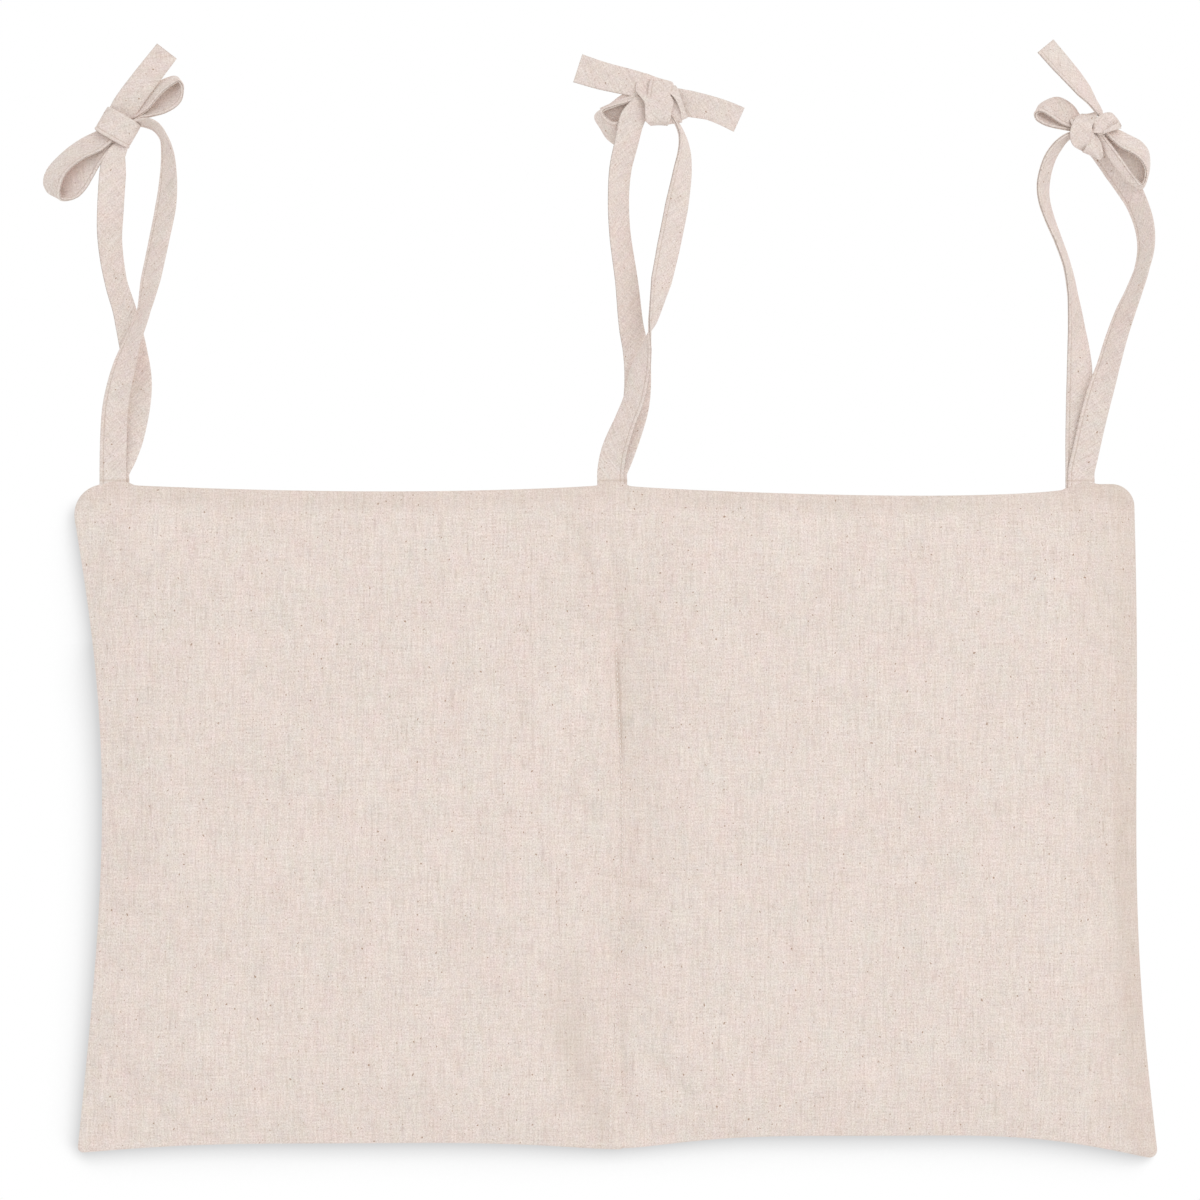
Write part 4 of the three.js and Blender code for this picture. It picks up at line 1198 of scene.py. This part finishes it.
# %% [markdown]
# ## Three ties
#
# Each tie is two straps sewn into the seam at one place. The back one runs up behind and ends in a
# tail. The front one crosses it, makes the knot round it and ends in the bow. The places were read
# off the photograph along the middle of each strap: right, up, back, tilt and width.

# %% Routes of the straps
FOOT = -3.0  # the straps are caught inside the seam, so they start below its edge


def sewn(right, back):
    return [(right, FOOT, back, 0), (right, EDGE_RADIUS + 1.5, back, 0), (right, 8, back, 0)]


TIES = {
    "left": {
        "tail": sewn(1.3, LAY_DEPTH)
        + [
            (5.4, 17, 1.2), (9.2, 27.5, 1.6), (13, 47.5, 3), (13.4, 60.5, 4), (10.2, 79, 4.6, 12),
            (6, 98, 3.5, 34), (1, 115, 2.5, 40), (-2.2, 138, 1.5, 32), (-1.7, 156.5, 0.5, 16),
            (-0.4, 174.5, -1, 12), (0.2, 181, -1, 8, 13.7), (1.6, 185.6, -1.5, 4, 11.4),
            (4.6, 191, -1.5, 0, 7.4), (4.4, 199.5, -0.5, 0, 9), (4.4, 208, 0, 0, 14.9),
            (7.4, 213.8, 0, 0, 15.3), (16, 225.8, 0, 0, 14.8), (29.9, 243.8, 0, 0, 13.9),
        ],
        "bow": sewn(-0.2, -LAY_DEPTH)
        + [
            (0.2, 26, -1.6), (1.3, 42.8, -3, -8), (3.7, 55.7, -5, -18), (7, 67.4, -6.6, -26),
            (11.4, 80.3, -7.6, -48), (17.8, 98.2, -6.4, -56), (21.3, 115.6, -4, -38), (25.8, 138, -2, -36),
            (29.3, 156.5, -1, -34), (30.6, 171, 0, -44), (30.3, 186, 0, -58), (28, 195.7, 0, -72, 14),
            (23.8, 201.4, 0, -72, 14), (18.8, 203.6, 0, -72, 13), (12, 203.4, 0, -80, 10),
            (4, 200.5, 0, -88, 8),
        ],
        "knots": [(2.4, 200.9, 60, 15.8, 21.5, 11.5)],
    },
    "centre": {
        "tail": sewn(1.2, LAY_DEPTH)
        + [
            (4.3, 16, 1.6), (9.6, 31, 2.4), (13.6, 46, 3.4), (14.6, 63, 4.4), (13.6, 76.4, 5, 10),
            (11, 90, 4.6, 22), (8.4, 114.5, 3, 31), (4.5, 143, 1.5, 38), (3.8, 162.6, 0, 39),
            (5, 178.3, -1.5, 35), (8, 191.2, -2.5, 30), (11.8, 206, -3, 15, 14.6), (17.5, 213.6, -2, 0, 11),
            (26.7, 216.6, 0, 0, 8), (36, 216, 0, 0, 14), (44, 214.2, 0, 0, 14.8), (55, 211.9, 0, 0, 13.6),
            (63.4, 208.9, 0, 0, 14.2), (71.4, 205.3, 0, 0, 14.8),
        ],
        "bow": sewn(-0.6, -LAY_DEPTH)
        + [
            (1.4, 19.8, -1.8, -16), (7.2, 35.5, -3.8, -36), (12.3, 48.4, -5.6, -38), (15.8, 64, -7.4, -40),
            (18.4, 76, -6.6, -58, 13), (20.6, 84.5, -5.6, -82, 9), (22.8, 92, -5.4, -112, 11),
            (27.7, 114.5, -4.6, -140), (31.7, 133.5, -2.6, -149), (36.4, 157, -1, -150),
            (39.8, 177.2, 0, -132), (40.7, 188.4, 0, -118, 14), (39.4, 197, 0, -106, 12),
            (35.5, 205, 0, -100, 10), (28, 213.6, 0, -92, 8),
        ],
        "knots": [(25.9, 215.3, -7, 13, 23, 12)],
        "tails": [
            [(26, 221.3, -1, 0, 14), (13.6, 225.2, -1, 0, 14.6), (-6.6, 230.2, -0.5, 0, 15.8),
             (-19, 234.2, 0, 0, 16.5)],
        ],
    },
    "right": {
        "tail": sewn(-0.7, LAY_DEPTH)
        + [
            (-0.7, 26, 1.2), (-0.3, 48.4, 1.6), (-0.2, 67.4, 2, 15), (-1.8, 88.1, 1.5, 45),
            (-4, 107.2, 1, 63), (-7.2, 123.4, 0, 69), (-12.3, 138, 0, 68), (-16.8, 149.2, 0, 64),
            (-20.2, 160.4, 0, 60), (-20.6, 170, 0, 58), (-17.3, 182.8, 0, 62), (-12, 191.2, 0, 66, 13),
            (-6.5, 196, 0, 76, 11), (1, 198.4, 0, 88, 8), (8.2, 200.6, 0, 88, 8), (12.2, 204.6, 0, 84, 8),
            (10.6, 209.6, 0, 62, 10), (6.8, 215.4, 0, 60, 13), (2.2, 221.4, 0, 48), (-4, 229, 0, 40),
            (-11.6, 237.6, 0, 34), (-19.5, 246.7, 0, 32),
        ],
        "bow": sewn(0.4, -LAY_DEPTH)
        + [
            (2.4, 17.6, -1.6, -5), (6.4, 36.1, -3, -9), (10.1, 51.2, -5, -18), (14.7, 66.3, -5.4, -38),
            (19.4, 82, -4, -44), (24.8, 97.1, -2.4, -50), (30, 109.4, -0.6, -60), (34.8, 122.3, 1.4, -66),
            (37.3, 134.6, 3, -60), (36.5, 146.9, 5, -52), (32, 160.3, 6.5, -44), (27, 169.3, 7, -32),
            (20.6, 178.6, 6.5, -24), (13.4, 187, 5, -20, 13), (7.2, 192.9, 3, -20, 11),
            (1, 198.2, 0, -20, 8),
        ],
        "knots": [(1.0, 199, 22, 10, 17, 11.5), (13.3, 202.4, -68, 10, 13, 11.5)],
    },
}
STITCHED = {("left", "tail"): None, ("centre", "tail"): None, ("centre", "bow"): "right"}
print("ties:", {name: len(tie["tail"]) + len(tie["bow"]) for name, tie in TIES.items()}, "places")

# %% [markdown]
# ## Loops and folds
#
# What makes a bow look tied is how its cloth turns: each loop shows its outside on one half and its
# inside through the eye, and every knot is a few flat folds over each other. These are ribbons
# between two edges. An edge is a row of places in the picture, each with how far it lies behind the
# seam plane, so a fold near the camera has a negative depth. The near edge of a loop is the rim of
# its eye, and only loops show their stitching. A fold may have a bow, which crowns it, and painted
# shade, for cloth that lies deep inside.

# %% Edges of the loops and folds
FOLDS = {
    "left": {
        "loop_1": (
            [(114, 140.5, -3), (101, 150.5, -4.5), (83, 159, -5), (66, 173.5, -5), (60, 190, -4.5),
             (61, 199, -4), (69, 200, -3.5), (78, 197, -3.5), (86, 189, -3.5), (93, 177.5, -3),
             (101.5, 162.5, -2.5), (110, 151, -2), (119, 142, -1)],
            [(99, 130, 2), (80, 139.5, 4.5), (62, 153, 5.5), (46.5, 170.5, 5.5), (43.5, 184, 5.5),
             (49, 193, 5.5), (56, 193, 6), (58, 184, 6), (62, 174, 5.5), (72, 161, 5), (88, 151, 4),
             (100, 143, 3), (108, 136, 2)],
            {},
        ),
        "loop_2": (
            [(133, 119.5, -1), (141, 114.5, -2), (148.5, 108.5, -3.5), (157.5, 97.5, -4.5),
             (165.5, 89.5, -5), (173, 84, -5), (179, 81, -4.5), (182.5, 86, -4), (183, 93, -4),
             (181, 101, -4), (175, 107.5, -4), (165, 112.8, -3.5), (151, 116.5, -3), (141, 118.5, -2.5),
             (132, 122.5, -1)],
            [(128, 117, 2), (135.5, 113.5, 2.5), (143, 104, 3.5), (150.5, 92, 4.5), (158, 82.5, 5),
             (166, 78.5, 5.5), (174, 76.5, 5.5), (178, 78, 6), (174, 83, 6), (168, 88, 6), (160, 95, 5.5),
             (152, 103.5, 5), (145, 109, 4), (138, 113.5, 3), (130, 117.5, 2)],
            {},
        ),
    },
    "centre": {
        "loop_1": (
            [(640, 98, -2), (626, 103, -3.5), (614, 106, -4.5), (602.5, 111.3, -4.5), (607, 118, -4.5),
             (613.5, 121.8, -4.5), (621, 120, -4), (627, 110, -2)],
            [(638, 89, 1), (623, 94.5, 3), (610, 104.5, 4.5), (594.8, 116.5, 4.5), (600.5, 128.5, 5),
             (607.5, 139.5, 5), (618, 146, 4), (632, 141, 2)],
            {},
        ),
        # painted shade on the cloth deep inside the eye
        "inside_1": (
            [(600, 108, 2.5), (618, 100, 2.5), (636, 93, 1.5)],
            [(602, 118, 2.5), (617, 124, 2.5), (636, 118, 1.5)],
            {"shade": 0.02},
        ),
        "fold_1": (
            [(651, 79, 3.2), (645, 73.8, 0.8), (637.5, 80, -1), (635.5, 90, -3.4), (644, 102.5, -6.4),
             (645, 114, -6.4), (646, 121, -5.6), (650, 125, -1)],
            [(667, 88, 3.2), (672, 82.5, 0.8), (674, 87, -2.5), (669, 91.5, -5), (673.5, 102, -6.4),
             (671.5, 112, -6.4), (670, 121, -5.6), (668, 125, -1)],
            {"bow": 0.5},
        ),
        "fold_2": (
            [(668, 86, -2), (668.5, 91.5, -4.2), (676, 101, -5), (680.5, 113, -4.6), (681, 120.5, -3)],
            [(676, 86, -2), (678, 89, -4), (681.5, 99, -4.6), (685.5, 111, -4.4), (687.5, 117.5, -2.5)],
            {"bow": 0.4},
        ),
        "fold_3": (
            [(668, 92, -3), (671, 105, -4), (669, 116, -4.2), (668, 124.5, -3)],
            [(676, 92, -2), (680, 103, -3), (683, 114, -3.2), (682, 122.5, -2.5)],
            {"bow": 0.4},
        ),
    },
    "right": {
        "loop_1": (
            [(1079, 130, -1), (1070, 127.5, -3), (1062, 124.5, -4), (1051, 117, -5), (1041, 111.5, -5),
             (1035.5, 113.5, -4.5), (1036, 119, -4), (1044, 124.5, -4), (1054, 127.5, -3.5),
             (1066, 129.5, -2.5), (1078, 131.5, -1)],
            [(1088, 122, 1), (1081, 116, 3), (1072.5, 104.5, 4), (1058, 97, 5.5), (1046, 100.5, 5.5),
             (1038.5, 107, 5.5), (1042, 109, 6), (1048, 112, 6), (1057, 118, 5), (1068, 124.5, 3.5),
             (1078, 128.5, 2)],
            {},
        ),
        "loop_2": (
            [(1103, 131, -3), (1112, 140, -4.5), (1121, 147.5, -5), (1131, 152.5, -5), (1140, 159, -5),
             (1145.5, 168, -5), (1146, 177, -4.5), (1142.5, 184.5, -4), (1134, 175.5, -4.5),
             (1125, 163, -5), (1116, 150.5, -5), (1108, 140.5, -5), (1101, 131, -3)],
            [(1112, 126, 1), (1121, 131, 3), (1131, 136, 4.5), (1141, 141.5, 5), (1148, 150.5, 5),
             (1149.5, 163, 5), (1147.5, 176, 4), (1141, 189, 0), (1129, 182, -1.5), (1119, 171.5, -2),
             (1110, 160, -2), (1103.5, 149, -2), (1095, 133, -2)],
            {},
        ),
        # painted shade on the cloth deep inside the eye
        "inside_2": (
            [(1106, 131, 1.5), (1124, 146, 2), (1140, 157, 2), (1148, 168, 2)],
            [(1104, 140, 1.5), (1118, 158, 2), (1132, 175, 2), (1143, 186, 2)],
            {"shade": 0.12},
        ),
        "fold_1": (
            [(1081, 114.5, -0.5), (1076, 117.5, -4.5), (1071, 127, -6.2), (1070, 138, -6),
             (1073.5, 146, -4.5), (1083, 151, -1)],
            [(1097.5, 111.5, -0.5), (1096.5, 117, -4.5), (1092.5, 126, -6.4), (1091.5, 135, -6.2),
             (1089, 143, -5.2), (1085.5, 150.5, -2.5)],
            {"bow": 0.9},
        ),
        "fold_2": (
            [(1090, 124, -2), (1094, 119.5, -5.5), (1103, 113.5, -6), (1111, 112.5, -5.5),
             (1117, 118.5, -4), (1121, 126, -1)],
            [(1090, 130, -2), (1094, 133, -5.8), (1103, 133, -6.6), (1111, 131, -6.2), (1117, 129.3, -4.5),
             (1121, 128.5, -1)],
            {"bow": -0.8},
        ),
        "fold_3": (
            [(1092, 131, -3), (1089, 140, -4.6), (1084, 149.5, -4.4), (1082.5, 151.5, -2)],
            [(1094, 132, -3), (1101, 143, -4.4), (1103, 156, -4), (1100.5, 160, -2)],
            {"bow": 0.4},
        ),
        "fold_4": (
            [(1119, 122, -5), (1111, 126, -7.4), (1103, 131, -7.2)],
            [(1120, 128.5, -4.5), (1112, 131, -6.8), (1103, 133.5, -6.5)],
            {},
        ),
    },
}
print("loops and folds:", {name: list(folds) for name, folds in FOLDS.items()})

# %% [markdown]
# ## Knots
#
# A knot is one turn of strap round the bunch. It is the same strap section carried round a
# flattened ring. Inside it sits the bunch itself, an egg of cloth with pleats that run out at both
# ends.

# %% Knot pieces
SQUARENESS = 0.6  # the power of cosine and sine: 1 would be an ellipse, 0 a rectangle
PLEATS, PLEAT_HEIGHT = 11, 0.10
BUNCH_INSET, BUNCH_LONGER = 1.6, 0.8  # plies that the bunch is inside the band, and mm that it sticks out


def knot_axes(turn):
    """The directions along the axis of a knot, turned in the picture, and across it."""
    along, up = math.cos(math.radians(turn)), math.sin(math.radians(turn))
    return np.array([along, 0, up]), np.array([up, 0, -along])


def knot_band(right, up, turn, length, across, depth):
    """The strap section round a ring between an ellipse and a rectangle. The strap's width lies
    along the axis of the knot."""
    theta = circle(120)
    axis, side = knot_axes(turn)
    squared = lambda wave: (np.sign(wave) * np.abs(wave) ** SQUARENESS)[:, None]
    ring = side * squared(np.cos(theta)) * (across - STRAP_PLY) / 2
    ring = ring + AWAY * squared(np.sin(theta)) * (depth - STRAP_PLY) / 2
    centre = ring + [right, 0, up]
    width = length * (1 - 0.06 * np.abs(np.cos(theta)) ** 3)
    return strap_mesh(centre, np.broadcast_to(axis, centre.shape), width, closed=True)


def knot_bunch(right, up, turn, length, across, depth):
    """An egg along the axis of the knot with pleats, slightly longer than the band."""
    t, theta = np.linspace(-1, 1, 24), circle(88)
    axis, side = knot_axes(turn)
    egg = np.sqrt(np.maximum(0.02, 1 - np.abs(t) ** 2.6))[:, None]
    egg = egg * (1 + PLEAT_HEIGHT * np.abs(np.sin(PLEATS / 2 * theta + 0.7)))
    a, b = ((size / 2 - BUNCH_INSET * STRAP_PLY) * egg for size in (across, depth))
    points = axis * (t * (length / 2 + BUNCH_LONGER))[:, None, None] + side * (a * np.cos(theta))[..., None]
    points = points + AWAY * (b * np.sin(theta))[..., None] + [right, 0, up]
    rings, corners = points.shape[:2]
    number = np.arange(corners // 2 - 1)
    cap = np.stack([number, number + 1, corners - 2 - number, corners - 1 - number], 1)
    sides = quads_of(rings, corners, close_columns=True)
    faces = np.concatenate([sides, cap[:, ::-1], cap + (rings - 1) * corners])
    flat = np.stack(np.broadcast_arrays((t * length / 2)[:, None], theta[None] * across / 2), -1)
    flat = flat.reshape(-1, 2) + rng.uniform(0, CUT_SPREAD, 2)
    points = points.reshape(-1, 3)
    return points, outward(points, faces), flat, np.zeros(len(points))


def tie_piece(name, shape, node, foot=(0, 0, 0)):
    """A mesh object from (points, faces, cut, painted shade) in mm, moved to the foot of its tie."""
    points, faces, cut, shade_and_edge_tint = shape
    piece = cloth_mesh(name, (points + foot) * MM, faces, cut * MM, strap_linen, shade_and_edge_tint)
    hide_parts(node)
    return piece


for tie, parts in TIES.items():
    foot = np.array([TIE_X[tie], 0, -SEAM_DROP])
    node = f"{tie}_tie_bow_strap"
    for part in ("tail", "bow"):
        shape = sweep(parts[part], stitched=STITCHED.get((tie, part), "left"))
        strap = tie_piece(f"{tie}_{part}_strap", shape, f"{tie}_tie_{part}_strap", foot)
        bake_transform(strap)
    for k, knot in enumerate(parts["knots"]):
        for kind, make in (("knot", knot_band), ("bunch", knot_bunch)):
            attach(tie_piece(f"{tie}_{kind}_{k + 1}", make(*knot), node, foot), "ties")
    for k, stations in enumerate(parts.get("tails", [])):
        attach(tie_piece(f"{tie}_end_{k + 1}", sweep(stations, stitched=None), node, foot), "ties")
    for name, (near, far, finish) in FOLDS[tie].items():
        shape = ribbon(near, far, stitched="loop" in name, **finish)
        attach(tie_piece(f"{tie}_{name}", shape, node), "ties")
